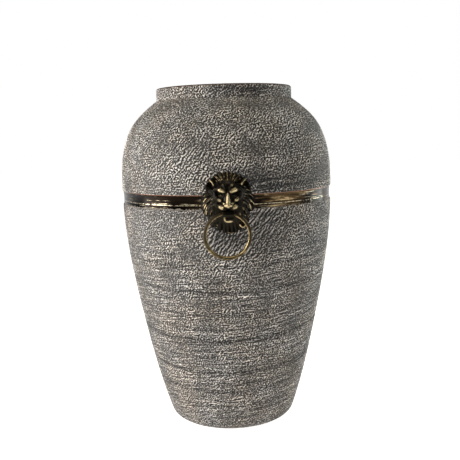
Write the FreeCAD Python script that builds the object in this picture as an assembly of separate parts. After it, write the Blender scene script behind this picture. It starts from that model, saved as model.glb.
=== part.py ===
import FreeCAD, Part
import math
import os

# Urn vase with a pair of lion-mask ring handles, in millimetres.
# +Z is up and the origin is the middle of the footprint, on the surface that the vase stands on.
# The front handle faces -Y and the rear handle faces +Y.

# Vase: one fired ceramic body, collar and foot included
overall_height = 400.0
greatest_radius = 125.5
collar_radius = 80.5
collar_height = 14.0
rim_rounding = 2.6
wall = 7.0
foot_radius = 63.0
base_edge_radius = 14.5
foot_recess_radius = 50.0
foot_recess_depth = 2.0
# Outline of the body above its rounded base edge: share of the shoulder's height, share of the greatest radius
outline_shares = (
    (0.155, 0.728),
    (0.310, 0.835),
    (0.520, 0.952),
    (0.640, 0.991),
    (0.730, 1.000),
    (0.800, 0.994),
    (0.870, 0.955),
    (0.930, 0.870),
    (0.970, 0.757),
)
side_lean = 0.306

# Smooth glazed band, sunk into the coat
band_below_rim = 125.7
band_height = 16.8
band_depth = 1.1
band_lower_slope = 1.3

# Felt discs under the foot
felt_thickness = 1.0
felt_radius = 5.5
felt_count = 4

# Lion mask: a hollow-eyed cast head in its mane, bedded on the wall
mask_below_rim = 126.0
mask_half_width = 29.0
mask_half_height = 33.4
mask_depth = 21.0
mane_cushion_depth = 8.0
mane_cushion_share = 0.86
bedding_thickness = 1.0
bedding_size_share = 0.74
seat_gap = 0.15
seat_curve_steps = 8

# Mouth and the ring that hangs in it
ring_mean_radius = 23.5
ring_bar_radius = 2.0
ring_slide = 1.5
ring_joint_gap = 0.4
mouth_below_middle = 9.7
mouth_standoff = 11.5
mouth_half_width = 5.5
mouth_clearance = 0.3
jaw_wall = 2.8
jaw_drop = 10.6

# Fixing through the wall: stud, sealing washer, steel washer and nut
stud_above_middle = 2.5
stud_radius = 2.5
stud_grip = 8.0
stud_tail = 3.0
stud_chamfer = 0.4
thread_gap = 0.04
stud_hole_radius = 3.5
sealing_washer_radius = 9.0
sealing_washer_thickness = 1.6
sealing_gap = 0.01
washer_probe_steps = 24
steel_washer_radius = 7.5
steel_washer_thickness = 1.2
washer_hole_gap = 0.2
nut_across_flats = 8.0
nut_thickness = 4.7
nut_corner_chamfer = 0.5

# Halvings that find a curve's radius at a height
halving_steps = 40

# One length by which every cutting tool runs past the faces that it cuts
overrun = 5.0

foot_plane = felt_thickness
shoulder_height = overall_height - collar_height
band_middle_height = overall_height - band_below_rim
mask_middle_height = overall_height - mask_below_rim
mouth_height = mask_middle_height - mouth_below_middle
stud_height = mask_middle_height + stud_above_middle


def section_point(radius, height):
    """A point of a turned section, in the XZ plane."""
    return FreeCAD.Vector(radius, 0, height)


def turned(edges):
    """Turns a closed run of edges once round the Z axis into a solid."""
    face = Part.Face(Part.Wire(edges))
    return face.revolve(FreeCAD.Vector(0, 0, 0), FreeCAD.Vector(0, 0, 1), 360)


def straight(start, end):
    """An edge from one point to another."""
    return Part.LineSegment(start, end).toShape()


def arc_edge(start, middle, end):
    """An edge along the arc through three points."""
    return Part.Arc(start, middle, end).toShape()


# The side leaves the rounded base edge where the arc is square to the leaning side
lean_length = math.hypot(1, side_lean)
edge_centre = section_point(foot_radius, foot_plane + base_edge_radius)
edge_outward = FreeCAD.Vector(1 / lean_length, 0, -side_lean / lean_length)
edge_down = FreeCAD.Vector(0, 0, -1)
edge_slant = (edge_outward + edge_down).normalize()


def outline_points():
    """The body's outside, from the end of the base edge up to the collar."""
    rise = shoulder_height - foot_plane
    points = [edge_centre + edge_outward * base_edge_radius]
    for height_share, radius_share in outline_shares:
        points.append(section_point(greatest_radius * radius_share, foot_plane + rise * height_share))
    points.append(section_point(collar_radius, shoulder_height))
    return points


def smooth_curve(points):
    """One smooth curve through points of a section."""
    curve = Part.BSplineCurve()
    curve.interpolate(Points=points)
    return curve


outline = smooth_curve(outline_points())


def radius_at(curve, height):
    """Radius of a rising curve at a height, found by halving the curve's span."""
    low, high = curve.FirstParameter, curve.LastParameter
    for _ in range(halving_steps):
        middle = (low + high) / 2
        if curve.value(middle).z < height:
            low = middle
        else:
            high = middle
    return curve.value(low).x


def outline_radius(height):
    """The body's outside radius at a height."""
    return radius_at(outline, height)


def inside_points():
    """The outside's points moved in by the wall, square to the curve, up to the collar's bore."""
    points = []
    for point in outline_points():
        tangent = outline.tangent(outline.parameter(point))[0]
        outward = FreeCAD.Vector(tangent.z, 0, -tangent.x)
        points.append(point - outward * wall)
    last = points.pop()
    tangent = outline.tangent(outline.LastParameter)[0]
    run = (last.x - (collar_radius - wall)) / -tangent.x
    points.append(last + tangent * run)
    return points


inside_curve = smooth_curve(inside_points())


def vase_solid():
    """The body, turned from its outside, rim, inside, floor and foot recess."""
    outside = outline_points()
    inside = inside_points()
    bore_radius = collar_radius - wall
    rim_flat = overall_height - rim_rounding
    round_share = 1 - math.sqrt(0.5)
    corner = rim_rounding * round_share
    recess_top = foot_plane + foot_recess_depth
    floor_top = foot_plane + wall
    edge_bottom = edge_centre + edge_down * base_edge_radius
    floor_edge = edge_centre + edge_down * (base_edge_radius - wall)
    edges = [
        straight(section_point(0, recess_top), section_point(foot_recess_radius, recess_top)),
        straight(section_point(foot_recess_radius, recess_top), section_point(foot_recess_radius, foot_plane)),
        straight(section_point(foot_recess_radius, foot_plane), edge_bottom),
        arc_edge(edge_bottom, edge_centre + edge_slant * base_edge_radius, outside[0]),
        outline.toShape(),
        straight(outside[-1], section_point(collar_radius, rim_flat)),
        arc_edge(
            section_point(collar_radius, rim_flat),
            section_point(collar_radius - corner, overall_height - corner),
            section_point(collar_radius - rim_rounding, overall_height),
        ),
        straight(section_point(collar_radius - rim_rounding, overall_height),
                 section_point(bore_radius + rim_rounding, overall_height)),
        arc_edge(
            section_point(bore_radius + rim_rounding, overall_height),
            section_point(bore_radius + corner, overall_height - corner),
            section_point(bore_radius, rim_flat),
        ),
        straight(section_point(bore_radius, rim_flat), inside[-1]),
        smooth_curve(inside[::-1]).toShape(),
        arc_edge(inside[0], edge_centre + edge_slant * (base_edge_radius - wall), floor_edge),
        straight(floor_edge, section_point(0, floor_top)),
        straight(section_point(0, floor_top), section_point(0, recess_top)),
    ]
    return turned(edges)


def band_groove():
    """The ring of clay that the sunk band leaves out, sharp above and sloped below."""
    low = band_middle_height - band_height / 2
    high = band_middle_height + band_height / 2
    outer = greatest_radius + overrun
    low_floor = section_point(outline_radius(low) - band_depth, low + band_lower_slope)
    middle_floor = section_point(outline_radius(band_middle_height) - band_depth, band_middle_height)
    high_floor = section_point(outline_radius(high) - band_depth, high)
    low_edge = section_point(outline_radius(low), low)
    edges = [
        straight(low_edge, low_floor),
        arc_edge(low_floor, middle_floor, high_floor),
        straight(high_floor, section_point(outer, high)),
        straight(section_point(outer, high), section_point(outer, low)),
        straight(section_point(outer, low), low_edge),
    ]
    return turned(edges)


def core_within(curve, offset, middle_height, half_height):
    """A turned solid round the axis, its side a set distance off one of the body's curves."""
    low = middle_height - half_height - overrun
    high = middle_height + half_height + overrun
    side = []
    for step in range(seat_curve_steps + 1):
        height = low + (high - low) * step / seat_curve_steps
        side.append(section_point(radius_at(curve, height) + offset, height))
    edges = [
        straight(section_point(0, low), side[0]),
        smooth_curve(side).toShape(),
        straight(side[-1], section_point(0, high)),
        straight(section_point(0, high), section_point(0, low)),
    ]
    return turned(edges)


def wall_core(offset):
    """A turned solid that fills the body behind a mask, its side a set distance off the wall."""
    return core_within(outline, offset, mask_middle_height, mask_half_height)


def on_wall(across, height, standoff):
    """A point in front of the wall: distance across, height, and standoff from the glaze."""
    return FreeCAD.Vector(across, -math.sqrt(outline_radius(height) ** 2 - across ** 2) - standoff, height)


def mask_place(across_share, up_share, out_share):
    """A point of the mask, in shares of its half width, half height and depth."""
    return on_wall(
        across_share * mask_half_width,
        mask_middle_height + up_share * mask_half_height,
        out_share * mask_depth,
    )


def capsule(start, end, start_radius, end_radius):
    """A tapered bar with round ends, turned about its own line."""
    length = (end - start).Length
    low = FreeCAD.Vector(0, 0, -start_radius)
    high = FreeCAD.Vector(0, 0, length + end_radius)
    side = math.sqrt(0.5)
    edges = [
        arc_edge(low, FreeCAD.Vector(start_radius * side, 0, -start_radius * side),
                 FreeCAD.Vector(start_radius, 0, 0)),
        straight(FreeCAD.Vector(start_radius, 0, 0), FreeCAD.Vector(end_radius, 0, length)),
        arc_edge(FreeCAD.Vector(end_radius, 0, length),
                 FreeCAD.Vector(end_radius * side, 0, length + end_radius * side), high),
        straight(high, low),
    ]
    solid = turned(edges)
    turn = FreeCAD.Rotation(FreeCAD.Vector(0, 0, 1), end - start)
    solid.Placement = FreeCAD.Placement(start, turn)
    return solid


def joined_in_pairs(pieces):
    """One solid from touching pieces, joined two by two so that each join stays small."""
    while len(pieces) > 1:
        pairs = [first.fuse(second) for first, second in zip(pieces[::2], pieces[1::2])]
        if len(pieces) % 2:
            pairs.append(pieces[-1])
        pieces = pairs
    return pieces[0]


def joined_in_turn(base, pieces):
    """One solid from a base and the pieces that grow out of it."""
    for piece in pieces:
        base = base.fuse(piece)
    return base


# Lion's face, in shares of the mask's half width, half height and depth.
# Each bar: across, up, out at its start, the same at its end, then its two radii as shares of the half width.
muzzle_up_share = -0.10
muzzle_radius_share = 0.44
skull_up_share = 0.34
skull_radius_share = 0.50
skull_out_share = 0.67
middle_bar_shares = (
    # nose bridge, nose leather, forehead crease
    ((0.0, 0.40, 0.66), (0.0, 0.02, 0.81), 0.085, 0.105),
    ((0.0, 0.01, 0.80), (0.0, -0.05, 0.82), 0.130, 0.085),
    ((0.0, 0.62, 0.50), (0.0, 0.46, 0.62), 0.090, 0.100),
)
paired_bar_shares = (
    # brow, cheek bone, nose wing, whisker pad, eyeball, temple
    ((0.12, 0.41, 0.68), (0.44, 0.50, 0.56), 0.085, 0.080),
    ((0.33, 0.20, 0.50), (0.43, 0.10, 0.42), 0.125, 0.105),
    ((0.04, 0.01, 0.78), (0.15, 0.03, 0.70), 0.075, 0.055),
    ((0.13, -0.085, 0.69), (0.17, -0.080, 0.60), 0.130, 0.120),
    ((0.25, 0.30, 0.56), (0.28, 0.30, 0.55), 0.070, 0.065),
    ((0.30, 0.60, 0.42), (0.48, 0.62, 0.30), 0.140, 0.110),
)
# Ears: start and end of the shell, then its radii, then the scoop's radius
ear_start_shares = (0.56, 0.62, 0.26)
ear_end_shares = (0.74, 0.74, 0.30)
ear_radius_shares = (0.16, 0.055)
ear_scoop_shares = (0.66, 0.67, 0.47, 0.105)

# Mane: rings of tapered locks, each ring with its count, first and last angle, root and tip reach,
# root and tip standoff, and root and tip thickness
mane_ring_shares = (
    (15, -24.0, 204.0, 0.66, 0.945, 0.22, 0.10, 0.150, 0.052),
    (12, -16.0, 196.0, 0.50, 0.760, 0.34, 0.28, 0.140, 0.070),
)
lock_curl_angle = 7.0
# Beard: start and end of each lock, then its two radii
beard_lock_shares = (
    ((0.00, -0.55, 0.14), (0.05, -0.940, 0.10), 0.140, 0.055),
    ((0.20, -0.52, 0.14), (0.27, -0.850, 0.10), 0.130, 0.055),
    ((-0.20, -0.52, 0.14), (-0.27, -0.850, 0.10), 0.130, 0.055),
    ((0.38, -0.44, 0.16), (0.52, -0.660, 0.10), 0.120, 0.060),
    ((-0.38, -0.44, 0.16), (-0.52, -0.660, 0.10), 0.120, 0.060),
)


def share_bar(start_shares, end_shares, start_radius_share, end_radius_share):
    """A tapered bar of the mask from two places and two radii in shares."""
    return capsule(
        mask_place(*start_shares),
        mask_place(*end_shares),
        start_radius_share * mask_half_width,
        end_radius_share * mask_half_width,
    )


def mirrored(shares):
    """The same place on the other side of the face."""
    return (-shares[0], shares[1], shares[2])


def face_bars():
    """The raised features of the face, single ones and pairs."""
    bars = [share_bar(*row) for row in middle_bar_shares]
    for start, end, start_radius, end_radius in paired_bar_shares:
        bars.append(share_bar(start, end, start_radius, end_radius))
        bars.append(share_bar(mirrored(start), mirrored(end), start_radius, end_radius))
    return bars


def mane_rings():
    """Rings of tapered locks that fan out round the face, each lock curling a little past its ray."""
    rings = []
    for count, first, last, root, tip, root_out, tip_out, root_thick, tip_thick in mane_ring_shares:
        locks = []
        for step in range(count):
            angle = first + (last - first) * step / (count - 1)
            side = 1 if angle < 90 else -1
            root_angle = math.radians(angle)
            tip_angle = math.radians(angle - side * lock_curl_angle)
            start = (root * math.cos(root_angle), root * math.sin(root_angle), root_out)
            end = (tip * math.cos(tip_angle), tip * math.sin(tip_angle), tip_out)
            locks.append(share_bar(start, end, root_thick, tip_thick))
        rings.append(locks)
    return rings


def ears():
    """Two round ears, each a tapered shell scooped at the front."""
    shells = []
    scoops = []
    for side in (1, -1):
        start = (side * ear_start_shares[0], *ear_start_shares[1:])
        end = (side * ear_end_shares[0], *ear_end_shares[1:])
        shells.append(share_bar(start, end, *ear_radius_shares))
        across, up, out, radius_share = ear_scoop_shares
        scoops.append(Part.makeSphere(radius_share * mask_half_width, mask_place(side * across, up, out)))
    return shells, scoops


ring_drop = (
    ring_mean_radius - math.sqrt(ring_mean_radius ** 2 - (mouth_half_width + ring_slide) ** 2))
mouth_hole_radius = ring_bar_radius + ring_drop / 2 + mouth_clearance
mouth_axis_point = on_wall(0, mouth_height, mouth_standoff)
jaw_standoff = mouth_standoff + mouth_hole_radius + jaw_wall


def rounded_box(low, high, rounding):
    """A box from corner to corner with every edge rounded."""
    size = high - low
    box = Part.makeBox(size.x, size.y, size.z, low)
    return box.makeFillet(rounding, box.Edges)


def jaw():
    """The lower jaw and lips: a block with round edges that holds the ring."""
    front = mouth_axis_point.y - mouth_hole_radius - jaw_wall
    back = mouth_axis_point.y + mouth_standoff
    low = FreeCAD.Vector(-mouth_half_width, front, mouth_height - jaw_drop)
    high = FreeCAD.Vector(mouth_half_width, back, mouth_height + mouth_hole_radius + jaw_wall)
    return rounded_box(low, high, jaw_wall / 2)


def mane_cushion():
    """The domed back of the head: the cap of a large ball, sunk into the wall before it is trimmed."""
    reach = mane_cushion_share * mask_half_width
    radius = (reach ** 2 + mane_cushion_depth ** 2) / (2 * mane_cushion_depth)
    centre = on_wall(0, mask_middle_height, mane_cushion_depth - radius)
    base_angle = math.degrees(math.asin((radius - 2 * mane_cushion_depth) / radius))
    return Part.makeSphere(radius, centre, FreeCAD.Vector(0, -1, 0), base_angle, 90, 360)


def head():
    """The skull, an upright egg: narrower at the muzzle than at the brow."""
    start_up, start_radius, end_up, end_radius = (
        muzzle_up_share, muzzle_radius_share * mask_half_width, skull_up_share, skull_radius_share * mask_half_width)
    reach = skull_out_share * mask_depth
    start = on_wall(0, mask_middle_height + start_up * mask_half_height, reach - start_radius)
    end = on_wall(0, mask_middle_height + end_up * mask_half_height, reach - end_radius)
    return capsule(start, end, start_radius, end_radius)


def lion_mask():
    """The cast mask: cushion, head, face, mane, beard and jaw, cut to the wall and drilled."""
    shells, scoops = ears()
    beard = [share_bar(*row) for row in beard_lock_shares]
    hair = mane_cushion()
    for ring in mane_rings():
        hair = hair.fuse(joined_in_pairs(ring))
    hair = joined_in_turn(hair, beard + shells)
    face = joined_in_turn(head(), [jaw()] + face_bars())
    solid = hair.fuse(face).cut(wall_core(bedding_thickness + 2 * seat_gap))
    for scoop in scoops:
        solid = solid.cut(scoop)
    half_length = mouth_half_width + overrun
    hole = Part.makeCylinder(
        mouth_hole_radius, 2 * half_length,
        FreeCAD.Vector(-half_length, mouth_axis_point.y, mouth_height), FreeCAD.Vector(1, 0, 0))
    solid = solid.cut(hole).cut(stud_bore(stud_radius + thread_gap, stud_grip + bedding_thickness))
    return max(solid.Solids, key=lambda piece: piece.Volume)


def stud_bore(radius, reach):
    """A round hole on the stud's line, from inside the vase to a reach beyond the wall."""
    wall_radius = outline_radius(stud_height)
    length = wall_radius + reach
    return Part.makeCylinder(
        radius, length - wall_radius / 2,
        FreeCAD.Vector(0, -wall_radius / 2, stud_height), FreeCAD.Vector(0, -1, 0))


def bedding_pad():
    """The thin sheet between mask and wall, an oval disc bent to the wall."""
    across = bedding_size_share * mask_half_width
    up = bedding_size_share * mask_half_height
    oval = Part.Ellipse(FreeCAD.Vector(0, 0, up), FreeCAD.Vector(across, 0, 0), FreeCAD.Vector(0, 0, 0))
    face = Part.Face(Part.Wire([oval.toShape()]))
    face.translate(FreeCAD.Vector(0, 0, mask_middle_height))
    disc = face.extrude(FreeCAD.Vector(0, -greatest_radius - bedding_thickness - overrun, 0))
    outer = wall_core(bedding_thickness + seat_gap)
    inner = wall_core(seat_gap)
    sheet = disc.common(outer).cut(inner)
    return sheet.cut(stud_bore(stud_radius + washer_hole_gap, mask_depth))


def inside_wall_span():
    """The inside wall's nearest and farthest depth from the axis under the sealing washer."""
    depths = []
    for step in range(washer_probe_steps):
        angle = math.tau * step / washer_probe_steps
        wall_radius = radius_at(inside_curve, stud_height + sealing_washer_radius * math.sin(angle))
        across = sealing_washer_radius * math.cos(angle)
        depths.append(-wall_radius)
        depths.append(-math.sqrt(wall_radius ** 2 - across ** 2))
    return max(depths), min(depths)


def washer(outer_radius, hole_radius, thickness, first_y):
    """A flat ring on the stud's line, laid from one depth towards the vase's axis."""
    start = FreeCAD.Vector(0, first_y, stud_height)
    inward = FreeCAD.Vector(0, 1, 0)
    return Part.makeCylinder(outer_radius, thickness, start, inward).cut(
        Part.makeCylinder(hole_radius, thickness, start, inward))


near_wall_y, far_wall_y = inside_wall_span()
sealing_face_y = near_wall_y + sealing_washer_thickness
steel_face_y = sealing_face_y + steel_washer_thickness
nut_face_y = steel_face_y + nut_thickness


def sealing_washer():
    """The soft washer, whose outer face takes the curve of the inside wall."""
    blank = washer(
        sealing_washer_radius, stud_radius + washer_hole_gap, sealing_face_y - far_wall_y, far_wall_y)
    core = core_within(inside_curve, -sealing_gap, stud_height, sealing_washer_radius)
    return blank.common(core).Solids[0]


def steel_washer():
    """The flat washer under the nut."""
    return washer(steel_washer_radius, stud_radius + washer_hole_gap, steel_washer_thickness, sealing_face_y)


def nut():
    """A hexagon nut with its outer corners turned off on both faces."""
    corner_radius = nut_across_flats / math.sqrt(3)
    corners = [
        FreeCAD.Vector(corner_radius * math.cos(step * math.pi / 3), 0, corner_radius * math.sin(step * math.pi / 3))
        for step in range(7)
    ]
    face = Part.Face(Part.makePolygon(corners))
    hexagon = face.extrude(FreeCAD.Vector(0, nut_thickness, 0))
    rise = corner_radius + nut_corner_chamfer - nut_across_flats / 2
    cone_length = nut_thickness + 2 * nut_corner_chamfer
    inward = FreeCAD.Vector(0, 1, 0)
    origin = FreeCAD.Vector(0, 0, 0)
    flat_radius = nut_across_flats / 2
    lower = Part.makeCone(
        flat_radius, flat_radius + nut_thickness * rise / nut_corner_chamfer, nut_thickness, origin, inward)
    upper = Part.makeCone(
        flat_radius + nut_thickness * rise / nut_corner_chamfer, flat_radius, nut_thickness, origin, inward)
    shape = hexagon.common(lower).common(upper)
    shape = shape.cut(Part.makeCylinder(stud_radius + thread_gap, cone_length, origin, inward))
    shape.translate(FreeCAD.Vector(0, steel_face_y, stud_height))
    return shape


def stud():
    """A plain bar with chamfered ends, from inside the mask to past the nut."""
    outer_y = -(outline_radius(stud_height) + stud_grip)
    inner_y = nut_face_y + stud_tail
    bar = Part.makeCylinder(
        stud_radius, inner_y - outer_y, FreeCAD.Vector(0, outer_y, stud_height), FreeCAD.Vector(0, 1, 0))
    ends = [edge for edge in bar.Edges if edge.Closed]
    return bar.makeChamfer(stud_chamfer, ends)


def handle_ring():
    """A round bar bent to a ring, its ends meeting inside the mouth."""
    centre_height = mouth_height + ring_drop / 2 - ring_mean_radius
    ring = Part.makeTorus(
        ring_mean_radius, ring_bar_radius,
        FreeCAD.Vector(-ring_slide, mouth_axis_point.y, centre_height), FreeCAD.Vector(0, 1, 0))
    slit_height = 2 * (ring_bar_radius + overrun)
    slit = Part.makeBox(
        ring_joint_gap, slit_height, slit_height,
        FreeCAD.Vector(-ring_joint_gap / 2, mouth_axis_point.y - slit_height / 2,
                       mouth_height - slit_height / 2))
    return ring.cut(slit)


def felt_discs():
    """Felt discs spaced evenly under the foot's flat ring."""
    circle = (foot_recess_radius + foot_radius) / 2
    discs = []
    for step in range(felt_count):
        angle = math.tau * (step + 0.5) / felt_count
        centre = FreeCAD.Vector(circle * math.cos(angle), circle * math.sin(angle), 0)
        discs.append(Part.makeCylinder(felt_radius, felt_thickness, centre))
    return Part.makeCompound(discs)


def half_turn(shape):
    """The same piece on the rear of the vase."""
    turned_piece = shape.copy()
    turned_piece.rotate(FreeCAD.Vector(0, 0, 0), FreeCAD.Vector(0, 0, 1), 180)
    return turned_piece


def vase_body():
    """The ceramic body with its sunk band and the two stud holes."""
    body = vase_solid().cut(band_groove())
    hole = stud_bore(stud_hole_radius, overrun)
    return body.cut(hole).cut(half_turn(hole))


def build():
    """Makes every sub-part and writes one STEP file for each."""
    body = vase_body()
    pieces = {"vase_body": body, "felt_pads": felt_discs()}
    handle = {
        "lion_mask": lion_mask(),
        "handle_ring": handle_ring(),
        "mask_bedding": bedding_pad(),
        "mask_stud": stud(),
        "sealing_washer": sealing_washer(),
        "steel_washer": steel_washer(),
        "stud_nut": nut(),
    }
    for name, shape in handle.items():
        pieces["front_" + name] = shape
        pieces["rear_" + name] = half_turn(shape)
    os.makedirs("parts", exist_ok=True)
    for name, shape in pieces.items():
        shape.exportStep("parts/" + name + ".step")
        print(name, "solids", len(shape.Solids), "volume", round(shape.Volume, 1), "valid", shape.isValid())
    print("straight bore of the mouth from", round(inside_points()[-1].z, 3), "to", overall_height - rim_rounding)
    print("mouth axis y", round(mouth_axis_point.y, 3), "z", mouth_height, "hole radius", round(mouth_hole_radius, 3))


build()
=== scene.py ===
"""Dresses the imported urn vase: combed coat, sunk glazed band, lion masks, rings and the fixings.

Lengths in the dataclasses are millimetres and angles are degrees, unless a name says otherwise.
The vase stands on the XY plane with +Z up, and its front mask faces -Y.
"""

import logging
import math
from dataclasses import dataclass, field, replace
from enum import Enum

import bpy
import numpy as np
from bpy.types import ID, Material, Node, NodeSocket, NodeTree, Object
from mathutils import Matrix, Vector


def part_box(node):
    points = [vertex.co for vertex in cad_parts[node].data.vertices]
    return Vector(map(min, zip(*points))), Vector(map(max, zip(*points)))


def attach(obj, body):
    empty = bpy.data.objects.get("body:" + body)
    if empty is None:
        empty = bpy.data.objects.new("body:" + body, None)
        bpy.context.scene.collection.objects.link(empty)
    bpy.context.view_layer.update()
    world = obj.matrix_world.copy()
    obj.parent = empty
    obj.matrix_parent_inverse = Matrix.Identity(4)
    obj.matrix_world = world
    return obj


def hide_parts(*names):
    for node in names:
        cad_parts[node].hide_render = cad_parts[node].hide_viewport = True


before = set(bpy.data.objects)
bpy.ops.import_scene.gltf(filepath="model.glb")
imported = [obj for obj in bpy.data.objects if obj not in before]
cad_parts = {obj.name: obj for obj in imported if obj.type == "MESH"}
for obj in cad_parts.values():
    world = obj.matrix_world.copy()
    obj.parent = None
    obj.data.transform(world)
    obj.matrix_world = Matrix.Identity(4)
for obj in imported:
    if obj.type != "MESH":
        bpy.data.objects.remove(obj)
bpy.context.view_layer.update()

MM = 0.001
TURN = 2.0 * math.pi
LOG = logging.getLogger("urn_vase")

Array = np.ndarray
Pair = tuple[float, float]
Triple = tuple[float, float, float]
Value = NodeSocket | float | Triple


class Side(Enum):
    """The two places of a handle; the rear one is the front one after a half turn."""

    FRONT = "front"
    REAR = "rear"

    @property
    def sign(self) -> float:
        """1 in front and -1 behind, which turns X and Y over together."""
        return 1.0 if self is Side.FRONT else -1.0

    def node(self, name: str) -> str:
        """Name of this side's CAD node."""
        return f"{self.value}_{name}"

    def placed(self, points: Array) -> Array:
        """Points of the front handle, brought to this side."""
        return points * np.array([self.sign, self.sign, 1.0])


def smooth_step(low: float, high: float, value: Array) -> Array:
    """Rises from 0 at low to 1 at high along 3t^2 - 2t^3."""
    share = np.clip((value - low) / (high - low), 0.0, 1.0)
    return share * share * (3.0 - 2.0 * share)


def bell(value: Array, middle: float, reach: float) -> Array:
    """A hump of height 1 round a middle: exp(-((v - m) / r)^2)."""
    return np.exp(-(((value - middle) / reach) ** 2))


def smooth_union(first: Array, second: Array, fillet: float) -> Array:
    """The greater of two heights, rounded where they meet: (a + b + sqrt((a - b)^2 + f^2)) / 2."""
    return 0.5 * (first + second + np.sqrt((first - second) ** 2 + fillet * fillet))


def new_object(name: str, data: ID) -> Object:
    """Makes an object and links it to the scene.

    Args:
        name: the object's name.
        data: its mesh, light or camera.

    Returns:
        The new object.
    """
    piece = bpy.data.objects.new(name, data)
    bpy.context.scene.collection.objects.link(piece)
    return piece


def hand_over(piece: Object, node: str, body: str, slot: str) -> None:
    """Hides the CAD node that a piece replaces, hangs the piece on its body, and logs them.

    Args:
        piece: the visible piece.
        node: CAD node that it replaces.
        body: body that it moves with.
        slot: name of a material slot, which is only logged.
    """
    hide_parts(node)
    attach(piece, body)
    LOG.info("%s replaces %s, rides %s, slot %s", piece.name, node, body, slot)


class Surface:
    """Collects closed grids of points and puts them into one mesh."""

    def __init__(self) -> None:
        """Starts an empty surface."""
        self.points: list[Array] = []
        self.faces: list[Array] = []
        self.creases: list[Array] = []
        self.values: dict[str, list[Array]] = {}
        self.count = 0

    def add_grid(
        self,
        grid: Array,
        poles: bool = False,
        creases: tuple[int, ...] = (),
        values: dict[str, Array] | None = None,
    ) -> "Surface":
        """Adds a closed grid whose columns run round in a ring.

        The rows run round as well, unless the first and last are closed with fans to their middles.
        Faces are turned over when the signed volume of the closed shape is negative.

        Args:
            grid: points, rows by columns by three.
            poles: True when fans close the first and last rows.
            creases: rows along which the surface has a sharp edge.
            values: numbers for each point, by attribute name.

        Returns:
            The surface itself.
        """
        rows, columns = grid.shape[:2]
        index = np.arange(rows * columns).reshape(rows, columns)
        across = np.roll(index, -1, axis=1)
        last = rows - 1 if poles else rows
        below, below_across = np.roll(index, -1, axis=0)[:last], np.roll(across, -1, axis=0)[:last]
        faces = np.stack([index[:last], across[:last], below_across, below], axis=-1).reshape(-1, 4)
        points = grid.reshape(-1, 3)
        extra = {name: value.reshape(-1) for name, value in (values or {}).items()}
        crease = np.full(rows * columns, -1)
        for row in creases:
            crease[index[row]] = self.count + row
        if poles:
            top, end = rows * columns, rows * columns + 1
            points = np.vstack([points, grid[0].mean(axis=0), grid[-1].mean(axis=0)])
            head = np.stack([np.full(columns, top), across[0], index[0], index[0]], axis=-1)
            tail = np.stack([np.full(columns, end), index[-1], across[-1], across[-1]], axis=-1)
            faces = np.vstack([faces, head, tail])
            crease = np.append(crease, [-1, -1])
            extra = {
                name: np.append(value, [value[:columns].mean(), value[-columns:].mean()])
                for name, value in extra.items()
            }
        corners = points[faces]
        volume = np.einsum("ij,ij->", corners[:, 0], np.cross(corners[:, 1], corners[:, 2]))
        volume += np.einsum("ij,ij->", corners[:, 0], np.cross(corners[:, 2], corners[:, 3]))
        if volume < 0.0:
            faces = faces[:, ::-1]
        self.points.append(points)
        self.faces.append(faces + self.count)
        self.creases.append(crease)
        self.count += len(points)
        for name, value in extra.items():
            self.values.setdefault(name, []).append(value)
        return self

    def build(self, name: str, material: Material) -> Object:
        """Makes the mesh object, in metres, shaded smooth.

        Args:
            name: the object's name.
            material: its finish.

        Returns:
            The new object, linked to the scene.
        """
        points = np.vstack(self.points) * MM
        faces = np.vstack(self.faces)
        first_pair, last_pair = faces[:, 0] == faces[:, 1], faces[:, 2] == faces[:, 3]
        faces = np.where(first_pair[:, None], np.roll(faces, -1, axis=1), faces)
        sizes = np.where(first_pair | last_pair, 3, 4)
        loops = faces[np.arange(4)[None, :] < sizes[:, None]]
        starts = np.concatenate([[0], np.cumsum(sizes)[:-1]])
        mesh = bpy.data.meshes.new(name)
        mesh.vertices.add(len(points))
        mesh.vertices.foreach_set("co", points.astype(np.float32).ravel())
        mesh.loops.add(len(loops))
        mesh.loops.foreach_set("vertex_index", loops.astype(np.int32))
        mesh.polygons.add(len(sizes))
        mesh.polygons.foreach_set("loop_start", starts.astype(np.int32))
        mesh.update(calc_edges=True)
        mesh.shade_smooth()
        for key, value in self.values.items():
            layer = mesh.attributes.new(key, "FLOAT", "POINT")
            layer.data.foreach_set("value", np.concatenate(value).astype(np.float32))
        ends = np.empty(2 * len(mesh.edges), dtype=np.int32)
        mesh.edges.foreach_get("vertices", ends)
        crease = np.concatenate(self.creases)[ends.reshape(-1, 2)]
        sharp = (crease[:, 0] == crease[:, 1]) & (crease[:, 0] >= 0)
        if sharp.any():
            layer = mesh.attributes.new("sharp_edge", "BOOLEAN", "EDGE")
            layer.data.foreach_set("value", sharp)
        mesh.materials.append(material)
        return new_object(name, mesh)


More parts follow.
